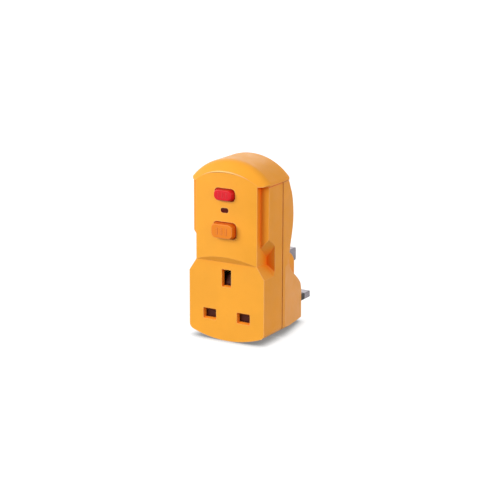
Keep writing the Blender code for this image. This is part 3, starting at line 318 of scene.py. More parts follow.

# Moulded plastic: its mottling, its paler edges, partly wear and partly painted highlight, and
# the reach in metres and range of openness of the painted shade in its corners
PLASTIC_IOR = 1.34
MOTTLE = (0.965, 1.03)
PALE_SHARE = 0.16
PAINTED_SHADE_REACH = 0.009
PAINTED_SHADE_RANGE = (0.5, 0.98)

# Camera, as it stood for the photograph
CAMERA_TARGET = (0.84, -32.3, 35.82)
CAMERA_AZIMUTH = 30.21
CAMERA_ELEVATION = 14.30
CAMERA_ROLL = 0.175
CAMERA_DISTANCE = 983.0
CAMERA_LENS = 122.98
CAMERA_SENSOR = 36.0
CAMERA_CLIP = (0.05, 50.0)

AXES = {
    "x": Matrix(((0, 0, 1), (1, 0, 0), (0, 1, 0))),
    "y": Matrix(((1, 0, 0), (0, 0, 1), (0, 1, 0))),
    "z": Matrix(((1, 0, 0), (0, 1, 0), (0, 0, 1))),
}


# Shapes, as meshes in millimetres


def face_out(shape):
    """Turns every face of a closed shape outwards."""
    bmesh.ops.recalc_face_normals(shape, faces=shape.faces)
    if shape.calc_volume(signed=True) < 0:
        bmesh.ops.reverse_faces(shape, faces=shape.faces)
    return shape


def loft(sections):
    """A closed shape through sections that have the same number of corners."""
    shape = bmesh.new()
    rings = [[shape.verts.new(corner) for corner in section] for section in sections]
    count = len(rings[0])
    for first, second in zip(rings, rings[1:]):
        for i in range(count):
            j = (i + 1) % count
            shape.faces.new((first[i], first[j], second[j], second[i]))
    shape.faces.new(rings[0])
    shape.faces.new(rings[-1][::-1])
    return face_out(shape)


def slab(outline, axis, low, high):
    """A flat outline extruded along an axis. Points are (y, z), (x, z) or (x, y)."""
    turn = AXES[axis]
    return loft([[turn @ Vector((u, v, w)) for u, v in outline] for w in (low, high)])


def block(x, y, z):
    """A box between the given limits along each axis."""
    corners = ((x[0], z[0]), (x[1], z[0]), (x[1], z[1]), (x[0], z[1]))
    return slab(corners, "y", *y)


def bar(centre, half, y):
    """A box along Y round an (x, z) centre, from its half width and half height."""
    across = (centre[0] - half[0], centre[0] + half[0])
    upright = (centre[1] - half[1], centre[1] + half[1])
    return block(across, y, upright)


def rod(centre, radius, low, high, sides=48):
    """A round bar along Y."""
    return slab(arc(centre, radius, 0, 360, sides)[:-1], "y", low, high)


def arc(centre, radius, start, end, steps):
    """Points on a circle between two angles in degrees, counted from +u towards +v."""
    points = []
    for step in range(steps + 1):
        angle = math.radians(start + (end - start) * step / steps)
        u = centre[0] + radius * math.cos(angle)
        v = centre[1] + radius * math.sin(angle)
        points.append((u, v))
    return points


def rounded_rectangle(centre, size, radius, steps=6):
    points = []
    for corner, (su, sv) in enumerate(((1, 1), (-1, 1), (-1, -1), (1, -1))):
        middle = (
            centre[0] + su * (size[0] / 2 - radius),
            centre[1] + sv * (size[1] / 2 - radius),
        )
        points += arc(middle, radius, 90 * corner, 90 * corner + 90, steps)
    return points


def smooth_path(points, steps):
    """A path through the points that rounds its corners."""
    path = [Vector((*point, 0.0)) for point in points]
    ends = [path[0], *path, path[-1]]
    smooth = []
    for i in range(1, len(path)):
        before, start, end, after = ends[i - 1], ends[i], ends[i + 1], ends[i + 2]
        first = start + (end - before) / 6
        second = end - (after - start) / 6
        smooth += interpolate_bezier(start, first, second, end, steps + 1)[:-1]
    smooth.append(path[-1])
    return smooth


def half_spun(profile, centre, steps):
    """A flat profile of (radius, y) points, turned over the top round an axis along Y."""
    shape = bmesh.new()
    corners = [shape.verts.new((centre[0] + r, y, centre[1])) for r, y in profile]
    section = shape.faces.new(corners)
    bmesh.ops.spin(
        shape,
        geom=[section, *section.edges, *section.verts],
        cent=(centre[0], 0, centre[1]),
        axis=(0, -1, 0),
        angle=math.pi,
        steps=steps,
    )
    open_edges = [edge for edge in shape.edges if edge.is_boundary]
    if open_edges:
        bmesh.ops.holes_fill(shape, edges=open_edges)
    return face_out(shape)


def in_order(shape):
    """The same shape with its corners and faces sorted, so that each run gives one mesh."""
    corners = sorted(shape.verts, key=lambda vert: tuple(vert.co))
    place = {vert: i for i, vert in enumerate(corners)}
    loops = []
    for face in shape.faces:
        loop = [place[vert] for vert in face.verts]
        start = loop.index(min(loop))
        loops.append(loop[start:] + loop[:start])
    ordered = bmesh.new()
    verts = [ordered.verts.new(vert.co) for vert in corners]
    for loop in sorted(loops):
        ordered.faces.new([verts[i] for i in loop])
    shape.free()
    return ordered


def mesh_of(name, shape):
    """A mesh from a shape, which is used up."""
    mesh = bpy.data.meshes.new(name)
    shape.to_mesh(mesh)
    shape.free()
    return mesh


def add(name, data):
    """A new object in the scene."""
    made = bpy.data.objects.new(name, data)
    bpy.context.scene.collection.objects.link(made)
    return made


def joined(*shapes):
    return [("UNION", shape) for shape in shapes]


def cut(*shapes):
    return [("DIFFERENCE", shape) for shape in shapes]


def carve(base, steps):
    """The base after a list of (operation, shape) steps."""
    body = add("helper", mesh_of("helper", base))
    helpers = [body]
    for operation, shape in steps:
        boolean = body.modifiers.new("step", "BOOLEAN")
        boolean.operation = operation
        boolean.solver = "EXACT"
        boolean.object = add("helper", mesh_of("helper", shape))
        helpers.append(boolean.object)
    graph = bpy.context.evaluated_depsgraph_get()
    mesh = bpy.data.meshes.new_from_object(body.evaluated_get(graph))
    result = bmesh.new()
    result.from_mesh(mesh)
    result = in_order(result)
    bpy.data.meshes.remove(mesh)
    for piece in helpers:
        mesh = piece.data
        bpy.data.objects.remove(piece, do_unlink=True)
        bpy.data.meshes.remove(mesh)
    bmesh.ops.remove_doubles(result, verts=result.verts, dist=WELD)
    bmesh.ops.dissolve_limit(result, angle_limit=FLAT, verts=result.verts, edges=result.edges)
    return result


def soften(shape, width, segments=3, keep=None):
    """Rounds the sharp edges of a shape, all of them or those that keep picks."""
    edges = []
    for edge in shape.edges:
        if len(edge.link_faces) != 2 or edge.calc_face_angle(0.0) < SHARP:
            continue
        if keep is None or keep((edge.verts[0].co + edge.verts[1].co) / 2):
            edges.append(edge)
    bmesh.ops.bevel(
        shape,
        geom=edges,
        offset=width,
        segments=segments,
        profile=0.5,
        affect="EDGES",
        clamp_overlap=True,
        loop_slide=True,
    )
    return shape


# Pieces


def piece_of(name, shape, body, slot, replaces, flat_angle=PIECE_FLAT):
    """Makes an object from a shape, ties it to its body and its finish, and hides the nodes it
    replaces.
    """
    bmesh.ops.scale(shape, vec=(MM, MM, MM), verts=shape.verts)
    mesh = mesh_of(name, shape)
    mesh.materials.append(materials[slot])
    mesh.shade_smooth()
    mesh.set_sharp_from_angle(angle=math.radians(flat_angle))
    piece = add(name, mesh)
    weighted = piece.modifiers.new("even_shading", "WEIGHTED_NORMAL")
    weighted.keep_sharp = True
    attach(piece, body)
    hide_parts(*replaces)
    return piece


# Materials


def fill(node, **values):
    """Sets sockets of a node. The spaces in their names are written as underscores."""
    for key, value in values.items():
        node.inputs[key.replace("_", " ")].default_value = value
    return node


class Surface:
    """A node material that is built up step by step."""

    def __init__(self, name):
        self.material = bpy.data.materials.new(name)
        self.material.use_nodes = True
        self.tree = self.material.node_tree
        self.shader = self.tree.nodes["Principled BSDF"]

    def set(self, **values):
        fill(self.shader, **values)

    def node(self, kind, **values):
        made = self.tree.nodes.new(kind)
        for key, value in values.items():
            setattr(made, key, value)
        return made

    def link(self, source, target):
        self.tree.links.new(source, target)

    def feed(self, name, source):
        """Links a node's output to one of the shader's own sockets."""
        self.link(source, self.shader.inputs[name])

    def place(self):
        return self.node("ShaderNodeTexCoord").outputs["Object"]

    def noise(self, scale, detail=2.0, stretch=(1, 1, 1)):
        """Noise with features about 1/scale metres wide."""
        mapping = fill(self.node("ShaderNodeMapping"), Scale=stretch)
        self.link(self.place(), mapping.inputs["Vector"])
        noise = fill(self.node("ShaderNodeTexNoise"), Scale=scale, Detail=detail)
        self.link(mapping.outputs["Vector"], noise.inputs["Vector"])
        return noise.outputs["Fac"]

    def spread(self, value, low, high, low_in=0.3, high_in=0.7):
        """The value mapped to a new range."""
        mapped = self.node("ShaderNodeMapRange")
        fill(mapped, From_Min=low_in, From_Max=high_in, To_Min=low, To_Max=high)
        self.link(value, mapped.inputs["Value"])
        return mapped.outputs["Result"]

    def blend(self, share, first, second):
        """A colour between two colours or colour outputs."""
        mix = self.node("ShaderNodeMix", data_type="RGBA")
        self.link(share, mix.inputs["Factor"])
        for colour, socket in ((first, mix.inputs["A"]), (second, mix.inputs["B"])):
            if isinstance(colour, tuple):
                socket.default_value = (*colour, 1.0)
            else:
                self.link(colour, socket)
        return mix.outputs["Result"]

    def edges(self, radius):
        """How far a point's normal turns within a radius: 0 on flats, more on edges."""
        bevel = fill(self.node("ShaderNodeBevel", samples=6), Radius=radius)
        geometry = self.node("ShaderNodeNewGeometry")
        dot = self.node("ShaderNodeVectorMath", operation="DOT_PRODUCT")
        self.link(bevel.outputs["Normal"], dot.inputs[0])
        self.link(geometry.outputs["Normal"], dot.inputs[1])
        return self.spread(dot.outputs["Value"], 1.0, 0.0, 0.86, 0.995)

    def openness(self, distance, alone=False):
        """How open the space above a point is, by its own piece alone or by all: 1 on flats."""
        occlusion = self.node("ShaderNodeAmbientOcclusion", samples=8, only_local=alone)
        return fill(occlusion, Distance=distance).outputs["AO"]

    def bump(self, height, distance, strength=1.0, before=None):
        bump = fill(self.node("ShaderNodeBump"), Distance=distance, Strength=strength)
        self.link(height, bump.inputs["Height"])
        if before is not None:
            self.link(before, bump.inputs["Normal"])
        return bump.outputs["Normal"]


def shade(colour, factor):
    return tuple(min(1.0, channel * factor) for channel in colour)


def moulded(name, colour, painted_shade_colour, roughness, grain=0.00002, wear_and_highlight=0.7, wear_and_highlight_reach=0.0008, alone=False):
    """Moulded plastic: eroded grain, soft mottling, edges paled by wear and painted highlight,
    painted shade in corners.
    """
    surface = Surface(name)
    surface.set(IOR=PLASTIC_IOR)
    mottle = surface.spread(surface.noise(60, 3.0), 0.0, 1.0)
    body = surface.blend(mottle, *(shade(colour, factor) for factor in MOTTLE))
    # Paler edges: partly wear, partly a painted highlight along every edge
    wear_and_highlight_share = surface.spread(surface.edges(wear_and_highlight_reach), 0.0, wear_and_highlight, 0.0, 1.0)
    pale = tuple(channel + (1.0 - channel) * PALE_SHARE for channel in colour)
    body = surface.blend(wear_and_highlight_share, body, pale)
    # Painted shade: where little is open above a point, as in creases and recesses, the colour
    # turns to the shade colour
    painted_shade_share = surface.spread(surface.openness(PAINTED_SHADE_REACH, alone), 1.0, 0.0, *PAINTED_SHADE_RANGE)
    surface.feed("Base Color", surface.blend(painted_shade_share, body, painted_shade_colour))
    # Painted shade of the reflection: in those corners the reflection is tinted by the
    # plastic's paler colour
    surface.feed("Specular Tint", surface.blend(painted_shade_share, (1.0, 1.0, 1.0), pale))
    patches = surface.noise(180, 4.0)
    surface.feed("Roughness", surface.spread(patches, roughness - 0.05, roughness + 0.07))
    fine = surface.bump(surface.noise(2600, 2.0), grain, 0.6)
    surface.feed("Normal", surface.bump(surface.noise(110, 1.0), 0.00004, 0.25, fine))
    return surface.material


def metal(name, colour, roughness, stretch=(1, 1, 1), tarnish=(0.75, 1.05)):
    """Bare or plated metal, drawn along one direction, with a light tarnish and painted
    highlights on its edges.
    """
    surface = Surface(name)
    surface.set(Metallic=1.0)
    cloud = surface.spread(surface.noise(150, 4.0), 0.0, 1.0)
    body = surface.blend(cloud, *(shade(colour, factor) for factor in tarnish))
    # Painted highlight: the edges are lighter than the flats
    painted_edge_highlight = surface.spread(surface.edges(0.0003), 0.0, 0.5, 0.0, 1.0)
    surface.feed("Base Color", surface.blend(painted_edge_highlight, body, shade(colour, 1.25)))
    drawn = surface.noise(1500, 3.0, stretch)
    surface.feed("Roughness", surface.spread(drawn, roughness - 0.06, roughness + 0.12))
    surface.feed("Normal", surface.bump(drawn, 0.000015, 0.5))
    return surface.material


def window_plastic(name):
    """Dark tinted clear plastic."""
    surface = Surface(name)
    surface.set(IOR=1.22, Transmission_Weight=0.2)
    tint = surface.blend(surface.noise(400, 2.0), (0.08, 0.004, 0.001), (0.14, 0.008, 0.002))
    surface.feed("Base Color", tint)
    surface.feed("Roughness", surface.spread(surface.noise(900, 3.0), 0.26, 0.36))
    surface.feed("Normal", surface.bump(surface.noise(300, 1.0), 0.00003, 0.2))
    return surface.material


def wound_wire(name, colour):
    """Fine enamelled wire wound in layers round a coil that lies along Y, with painted shade
    and highlight on each turn.
    """
    surface = Surface(name)
    surface.set(Metallic=1.0)
    wave = surface.node("ShaderNodeTexWave", bands_direction="Y", wave_profile="SIN")
    fill(wave, Scale=700.0, Distortion=0.6, Detail=1.0)
    surface.link(surface.place(), wave.inputs["Vector"])
    turns = wave.outputs["Fac"]
    # Painted shade and highlight: each turn is darker in its grooves and lighter on its crest
    surface.feed("Base Color", surface.blend(turns, shade(colour, 0.45), shade(colour, 1.1)))
    surface.feed("Roughness", surface.spread(surface.noise(500), 0.22, 0.4))
    surface.feed("Normal", surface.bump(turns, 0.0001))
    return surface.material


def flag_paint(name, shown, hidden):
    """The flag's two zones: the dark one at the window at rest, the red one when it turns."""
    surface = Surface(name)
    split = surface.node("ShaderNodeSeparateXYZ")
    surface.link(surface.place(), split.inputs["Vector"])
    low, high = FLAG_RED_Z * MM, (FLAG_RED_Z + FLAG_RED_FADE) * MM
    zone = surface.spread(split.outputs["Z"], 0.0, 1.0, low, high)
    surface.feed("Base Color", surface.blend(zone, hidden, shown))
    surface.feed("Roughness", surface.spread(surface.noise(300), 0.35, 0.5))
    surface.feed("Normal", surface.bump(surface.noise(2400), 0.00002, 0.5))
    return surface.material


def circuit_green(name):
    """Green lacquer over copper tracks."""
    surface = Surface(name)
    surface.set(IOR=1.5, Coat_Weight=0.4, Coat_Roughness=0.1)
    tracks = surface.node("ShaderNodeTexBrick", offset=0.5)
    fill(tracks, Scale=90.0, Mortar_Size=0.06, Mortar=(0.07, 0.34, 0.12, 1.0))
    fill(tracks, Color1=(0.02, 0.17, 0.06, 1.0), Color2=(0.025, 0.20, 0.07, 1.0))
    turned = fill(surface.node("ShaderNodeMapping"), Rotation=(math.pi / 2, 0, 0))
    surface.link(surface.place(), turned.inputs["Vector"])
    surface.link(turned.outputs["Vector"], tracks.inputs["Vector"])
    surface.feed("Base Color", tracks.outputs["Color"])
    surface.feed("Roughness", surface.spread(surface.noise(400), 0.3, 0.45))
    surface.feed("Normal", surface.bump(tracks.outputs["Fac"], 0.00004))
    return surface.material


def make_materials():
    """The finish of each slot. Plastics take a colour, a colour of painted shade for their
    corners and a roughness.
    """
    along_pin = (1, 0.08, 1)
    plastics = {
        "orange": ("orange_plastic", (0.89, 0.38, 0.03), (0.86, 0.14, 0.0), 0.42),
        # The raised line's plastic is paler than the case's: a painted highlight along it
        "bead": ("painted_highlight_orange", (0.96, 0.55, 0.17), (0.94, 0.30, 0.02), 0.34),
        "amber": ("amber_plastic", (0.80, 0.22, 0.008), (0.40, 0.008, 0.0), 0.36),
        "red": ("red_plastic", (0.72, 0.004, 0.016), (0.32, 0.0, 0.0), 0.38),
        "white": ("white_plastic", (0.80, 0.79, 0.75), (0.62, 0.60, 0.55), 0.45),
        "black": ("black_plastic", (0.028, 0.022, 0.022), (0.02, 0.015, 0.015), 0.42),
        "blue": ("blue_insulation", (0.05, 0.16, 0.45), (0.03, 0.10, 0.32), 0.38),
        "tan": ("tan_lacquer", (0.55, 0.34, 0.17), (0.40, 0.22, 0.10), 0.45),
        "ferrite": ("ferrite", (0.07, 0.07, 0.075), (0.04, 0.04, 0.045), 0.6),
    }
    extras = {
        "orange": {"alone": True},
        "amber": {"wear_and_highlight_reach": 0.0006},
        "red": {"wear_and_highlight_reach": 0.0006},
        "black": {"wear_and_highlight": 0.1},
        "ferrite": {"grain": 0.00005},
    }
    made = {slot: moulded(*row, **extras.get(slot, {})) for slot, row in plastics.items()}
    made["smoke"] = window_plastic("smoke_plastic")
    made["board"] = circuit_green("board_lacquer")
    made["brass"] = metal("brass", (0.78, 0.57, 0.24), 0.26, along_pin)
    # The nickel is darker than bare nickel, to stand for the dark surroundings it reflects: a
    # painted reflection
    made["nickel"] = metal("nickel_plate", (0.25, 0.225, 0.25), 0.28, along_pin, (0.8, 1.12))
    made["copper"] = metal("copper", (0.78, 0.36, 0.20), 0.30, along_pin)
    made["steel"] = metal("steel", (0.55, 0.56, 0.58), 0.32)
    return made


materials = make_materials()


# Case


def case_outline(inset):
    """Front view of the case without its dome: arched bottom, round corners, flat top."""
    half = HALF_WIDTH - inset
    bottom_radius = (HALF_WIDTH**2 + BOTTOM_SAG**2) / (2 * BOTTOM_SAG)
    centre_z = BOTTOM_Z + bottom_radius
    radius = bottom_radius - inset
    corner = max(BOTTOM_CORNER - inset, LEAST_CORNER)
    corner_x = half - corner
    corner_z = centre_z - math.sqrt((radius - corner) ** 2 - corner_x**2)
    spread = math.degrees(math.atan2(corner_x, centre_z - corner_z))
    points = arc((0, centre_z), radius, -90 - spread, -90 + spread, steps=28)
    points += arc((corner_x, corner_z), corner, -90 + spread, 0, steps=9)[1:]
    left = [(-u, v) for u, v in points if u > corner_x - WELD][::-1]
    return points, left, half


def flat_top_outline(inset, top_z):
    points, left, half = case_outline(inset)
    return points + [(half, top_z), (-half, top_z)] + left[:-1]


def arch_points(inset):
    """The dome's arch from its right side to its left, with small corners."""
    half = HALF_WIDTH + LIP_PROUD - inset
    radius = ARCH_RADIUS + LIP_PROUD - inset
    corner_x = half - ARCH_CORNER
    corner_z = ARCH_CENTRE_Z + math.sqrt((radius - ARCH_CORNER) ** 2 - corner_x**2)
    lean = math.degrees(math.atan2(corner_z - ARCH_CENTRE_Z, corner_x))
    right = arc((corner_x, corner_z), ARCH_CORNER, 0, lean, steps=4)[:-1]
    points = right + arc((0, ARCH_CENTRE_Z), radius, lean, 180 - lean, steps=56)
    return points + [(-u, v) for u, v in right[::-1]]


def full_outline(inset):
    points, left, _ = case_outline(inset)
    return points + arch_points(inset + LIP_PROUD) + left[:-1]


def chamfer_ring(inset):
    """What the cone at the front of the dome leaves outside it, with a rounded bend."""
    radius = ARCH_RADIUS + LIP_PROUD - inset
    out, deeper = (share * inset for share in CHAMFER_BEND_SHIFT)
    back = Vector((radius, CHAMFER_BACK_Y + CHAMFER_BACK_SHIFT * inset))
    bend = Vector((radius - CHAMFER_BEND + out, CHAMFER_BEND_Y + deeper))
    corner = Vector((radius - CHAMFER_NIP, bend.y + CHAMFER_BEND - CHAMFER_NIP))
    handles = [end.lerp(corner, pull) for end, pull in zip((bend, back), CHAMFER_PULLS)]
    bend_steps = 9
    path = [point.to_3d() for point in (bend, *handles, back)]
    turn = interpolate_bezier(*path, bend_steps)
    front = (bend.x - CHAMFER_REACH, bend.y - CHAMFER_REACH)
    outside = 2 * ARCH_RADIUS
    profile = [front, *[(p.x, p.y) for p in turn], (outside, back.y), (outside, front[1])]
    return half_spun(profile, (0, ARCH_CENTRE_Z), steps=108)


def grip_cutter(side, wall):
    """The channel and finger pocket beside the panel, wider by a wall for the cavity."""
    spread = GRIP_DRAFT * wall
    front = FRONT_Y - OVERCUT_OUTSIDE
    sections = []
    for x in (PANEL_HALF_WIDTH - wall, HALF_WIDTH + OVERCUT):
        share = (x - PANEL_HALF_WIDTH) / (HALF_WIDTH - PANEL_HALF_WIDTH)
        at = {}
        for part, inner in GRIP_INNER.items():
            at[part] = inner + share * (GRIP_OUTER[part] - inner)
        floor = at["pocket"] + wall
        section = (
            (front, LIP_Z + wall),
            (at["channel"] + wall, LIP_Z + wall),
            (at["channel"] + wall, at["ramp"] + spread),
            (floor, at["high"] + spread),
            (floor, at["low"] - spread),
            (floor - POCKET_SILL, at["front_low"] - spread),
            (front, at["front_low"] - spread),
        )
        sections.append([(side * x, y, z) for y, z in section])
    return loft(sections)


def panel_curve():
    """Radius of the bowed panel, and the Y of its centre."""
    radius = (PANEL_HALF_WIDTH**2 + PANEL_BULGE**2) / (2 * PANEL_BULGE)
    return radius, FRONT_Y - PANEL_BULGE + radius


def panel_shape():
    """The bowed panel between the finger grips, with the sloped facet at its foot."""
    half = PANEL_HALF_WIDTH + PANEL_OVERLAP
    radius, centre_y = panel_curve()
    spread = math.degrees(math.asin(half / radius))
    bow = arc((0, centre_y), radius, -90 - spread, -90 + spread, steps=40)
    back_y = FRONT_Y + PANEL_ROOT
    outline = [(-half, back_y), *bow, (half, back_y)]
    panel = slab(outline, "z", LENS_LOW_Z - OVERCUT_OUTSIDE, PANEL_TOP_Z)
    slope = (LENS_HIGH_Z - LENS_LOW_Z) / PANEL_BULGE
    reach = OVERCUT_OUTSIDE
    back, front = FRONT_Y + reach, FRONT_Y - reach
    below = (
        (back, LENS_LOW_Z - slope * reach),
        (front, LENS_LOW_Z + slope * reach),
        (front, LENS_LOW_Z - FAR),
        (back, LENS_LOW_Z - FAR),
    )
    return carve(panel, cut(slab(below, "x", -FAR, FAR)))


def on_rim(point):
    """True on the edges that are kept crisp: the seam between the shells and the slots."""
    if abs(abs(point.y - SEAM_Y) - SEAM_GAP / 2) < WELD:
        return True
    for x, z, size, lead in SLOTS:
        wide, tall = (side / 2 + reach + FIT for side, reach in zip(size, lead))
        if abs(point.x - x) < wide and abs(point.z - z) < tall:
            return True
    return False


def soften_shell(shape):
    """Rounds the edges of a shell, but not the seam and the slots."""
    return soften(shape, EDGE_SOFT, keep=lambda point: not on_rim(point))


def corner_cutter(side):
    """What the dome loses at its low front corner, so that it fades into the case below."""
    outer = HALF_WIDTH + FADE_OUTER
    sections = []
    for z, lean in ((LIP_Z + FADE_LOW, 0.0), (LIP_Z + FADE_HIGH, FADE_LEAN)):
        corners = [(HALF_WIDTH + x + lean, FRONT_Y + y) for x, y in FADE_OUTLINE]
        corners += [(outer, corners[-1][1]), (outer, corners[0][1])]
        sections.append([(side * x, y, z) for x, y in corners])
    return loft(sections)


def lead_in(x, z, size, lead):
    """The slope round the mouth of a slot."""
    sections = []
    for depth in (-0.5 * LEAD_IN_DEPTH, LEAD_IN_DEPTH):
        share = 1 - depth / LEAD_IN_DEPTH
        wide, tall = (side + 2 * reach * share for side, reach in zip(size, lead))
        mouth = rounded_rectangle((x, z), (wide, tall), SLOT_CORNER, steps=2)
        sections.append([(u, FRONT_Y + depth, v) for u, v in mouth])
    return loft(sections)


def dome_shape():
    """The dome with its rear edge rounded."""
    half = HALF_WIDTH + LIP_PROUD
    outline = [(half, LIP_Z), *arch_points(0.0), (-half, LIP_Z)]
    dome = slab(outline, "y", FRONT_Y, DOME_BACK_Y)
    edges = [
        edge
        for edge in dome.edges
        if all(abs(v.co.y - DOME_BACK_Y) < WELD for v in edge.verts)
        and max(v.co.z for v in edge.verts) > LIP_Z + WELD
    ]
    bmesh.ops.bevel(
        dome,
        geom=edges,
        offset=DOME_EDGE,
        segments=11,
        profile=0.5,
        affect="EDGES",
    )
    return dome


def front_holes():
    """Cutters for the slots, the keys and the window."""
    holes = []
    for x, z, size, lead in SLOTS:
        hole = rounded_rectangle((x, z), size, SLOT_CORNER, steps=2)
        holes.append(slab(hole, "y", FRONT_Y - OVERCUT, INNER_FRONT_Y + OVERCUT_INSIDE))
        holes.append(lead_in(x, z, size, lead))
    outer_y = FRONT_Y - PANEL_BULGE - OVERCUT_INSIDE
    for z, size, radius, loose in (
        (TEST_Z, TEST_SIZE, KEY_CORNER, 2 * FIT),
        (RESET_Z, RESET_SIZE, KEY_CORNER, 2 * FIT),
        (WINDOW_Z, WINDOW_SIZE, WINDOW_CORNER, 0.0),
    ):
        outline = rounded_rectangle((0, z), [side + loose for side in size], radius)
        holes.append(slab(outline, "y", outer_y, INNER_FRONT_Y + OVERCUT_INSIDE))
    return holes


def build_front_shell():
    lower = flat_top_outline(0.0, LIP_Z + DOME_OVERLAP)
    lower = slab(lower, "y", FRONT_Y, SEAM_Y - SEAM_GAP / 2)
    cutters = [chamfer_ring(0.0), *(grip_cutter(side, 0.0) for side, _ in SIDES)]
    cutters += front_holes()
    groove = (LIP_Z - LIP_GROOVE, LIP_Z)
    for side, _ in SIDES:
        reach = (HALF_WIDTH - LIP_GROOVE, HALF_WIDTH + OVERCUT_OUTSIDE)
        across = sorted(side * x for x in reach)
        cutters += [block(across, (FRONT_Y, SEAM_Y), groove), corner_cutter(side)]
    skin = carve(lower, joined(dome_shape(), panel_shape()) + cut(*cutters))
    skin = soften_shell(skin)
    inner = [chamfer_ring(WALL), *(grip_cutter(side, WALL) for side, _ in SIDES)]
    hollow = slab(full_outline(WALL), "y", INNER_FRONT_Y, DOME_BACK_Y - WALL)
    shell = carve(skin, cut(carve(hollow, cut(*inner))))
    piece_of("front_shell_moulding", shell, "case", "orange", ["front_shell"], SHELL_FLAT)


def taper_cutter(side, wall):
    """What lies outside the tapering side of the rear shell."""
    lower = (HALF_WIDTH - PLUG_HALF_WIDTH) / -TAPER_START_Y
    levels = [(-FAR, lower)]
    steps = 12
    for i in range(steps + 1):
        share = i / steps
        ease = share * share * (3 - 2 * share)
        z = TAPER_LOW_Z + share * (TAPER_HIGH_Z - TAPER_LOW_Z)
        levels.append((z, lower + ease * (UPPER_TAPER - lower)))
    levels.append((TAPER_TOP_Z, UPPER_TAPER))
    outer = HALF_WIDTH + TAPER_OUTER
    sections = []
    for z, rate in levels:
        start = HALF_WIDTH - wall
        end = start - rate * (TAPER_END_Y - TAPER_START_Y)
        near = ((start, TAPER_START_Y), (end, TAPER_END_Y))
        away = ((outer, TAPER_END_Y), (outer, TAPER_START_Y))
        sections.append([(side * x, y, z) for x, y in near + away])
    return loft(sections)


def rear_solid(wall, front_y):
    """The rear shell without its hollow, or with a wall taken off for the hollow."""
    top_z = LIP_Z + OVERCUT_OUTSIDE if wall else LIP_Z - LIP_GROOVE
    base = slab(flat_top_outline(wall, top_z), "y", front_y, PLUG_FACE_PAST)
    path = [(p.x - wall, p.y - wall / 2) for p in smooth_path(BACK_PROFILE, steps=8)]
    start_y = front_y - BACK_PROFILE_START
    profile = [(start_y, BACK_PROFILE_TOP_Z), (path[0][0], BACK_PROFILE_TOP_Z), *path]
    profile += [(path[-1][0], BACK_PROFILE_LOW_Z), (start_y, BACK_PROFILE_LOW_Z)]
    half = EARTH_BLOCK_HALF_WIDTH - wall
    top = EARTH_BLOCK_TOP_Z - wall
    corner = EARTH_BLOCK_CORNER - wall
    points = [(half, 0.0)]
    points += arc((half - corner, top - corner), corner, 0, 90, steps=14)
    points += arc((corner - half, top - corner), corner, 90, 180, steps=14)
    points += [(-half, 0.0)]
    earth_block = slab(points, "y", EARTH_BLOCK_FRONT_Y, -wall * EARTH_BLOCK_WALL)
    steps = [("INTERSECT", slab(profile, "x", -FAR, FAR)), *joined(earth_block)]
    return carve(base, steps + cut(*(taper_cutter(side, wall) for side, _ in SIDES)))


def tube_steps(rim_y):
    """The tubes inside the rear shell that the screws go through."""
    steps = []
    for _, x, z, seat, past in SCREWS:
        for side, _ in SIDES:
            centre = (side * x, z)
            tube = (rim_y + TUBE_START, seat + past)
            recess = (seat + RECESS_RECUT, seat + RECESS_REACH)
            hole = (rim_y - SCREW_HOLE_REACH, seat + SCREW_RIM)
            steps += joined(rod(centre, SCREW_HEAD + TUBE_WALL, *tube))
            steps += cut(rod(centre, SCREW_HEAD + FIT - RECESS_RECUT, *recess))
            steps += cut(rod(centre, SCREW_HOLE, *hole))
    return steps


def tongue_steps(rim_y):
    """The tongue round the rim, and the root that joins it to the wall."""

    def inside():
        inner = full_outline(WALL + TONGUE_INSET)
        return slab(inner, "y", rim_y - TONGUE_CLEARING, rim_y + TONGUE_CLEARING)

    root_start, root_end = (rim_y + depth for depth in TONGUE_ROOT)
    outer = slab(full_outline(WALL + FIT), "y", rim_y - TONGUE_LENGTH, root_end)
    root = slab(flat_top_outline(WALL / 2, TONGUE_ROOT_TOP_Z), "y", root_start, root_end)
    return joined(carve(outer, cut(inside())), carve(root, cut(inside())))


def build_rear_shell():
    rim_y = SEAM_Y + SEAM_GAP / 2
    steps = []
    for x, z, size in (
        (PIN_X, 0.0, PIN_SIZE),
        (-PIN_X, 0.0, PIN_SIZE),
        (0.0, EARTH_RISE, EARTH_SIZE),
    ):
        loose = [side + 2 * FIT for side in size]
        hole = rounded_rectangle((x, z), loose, PIN_HOLE_CORNER, steps=3)
        steps += cut(slab(hole, "y", PIN_HOLE_FRONT_Y, OVERCUT))
    for _, x, z, seat, _ in SCREWS:
        for side, _ in SIDES:
            steps += cut(rod((side * x, z), SCREW_HEAD + FIT, seat, seat + RECESS_REACH))
    skin = soften_shell(carve(rear_solid(0.0, rim_y), steps))
    hollow = rear_solid(WALL, rim_y - OVERCUT_INSIDE)
    shell = carve(skin, cut(hollow) + tube_steps(rim_y) + tongue_steps(rim_y))
    piece_of("rear_shell_moulding", shell, "case", "orange", ["rear_shell"], SHELL_FLAT)


# Buttons


def key_shape(z, size, proud, face):
    """A key with drafted sides that round over into a slightly crowned face."""
    surface_y = FRONT_Y - PANEL_BULGE
    crown, crown_share = KEY_CROWN
    rings = [(KEY_FLANGE_BACK_Y, 0.0, 1.0), (surface_y + KEY_BASE, 0.0, 1.0)]
    for share, rise in KEY_PROFILE:
        rings.append((surface_y + KEY_SUNK - (proud + KEY_SUNK) * rise, share, 1.0))
    rings.append((surface_y - proud - crown, 1.0, crown_share))
    sections = []
    for y, share, inner in rings:
        wide, tall = (side * (1 + share * (end - 1)) * inner for side, end in zip(size, face))
        outline = rounded_rectangle((0, z), (wide, tall), KEY_CORNER * inner)
        sections.append([(u, y, v) for u, v in outline])
    return loft(sections)


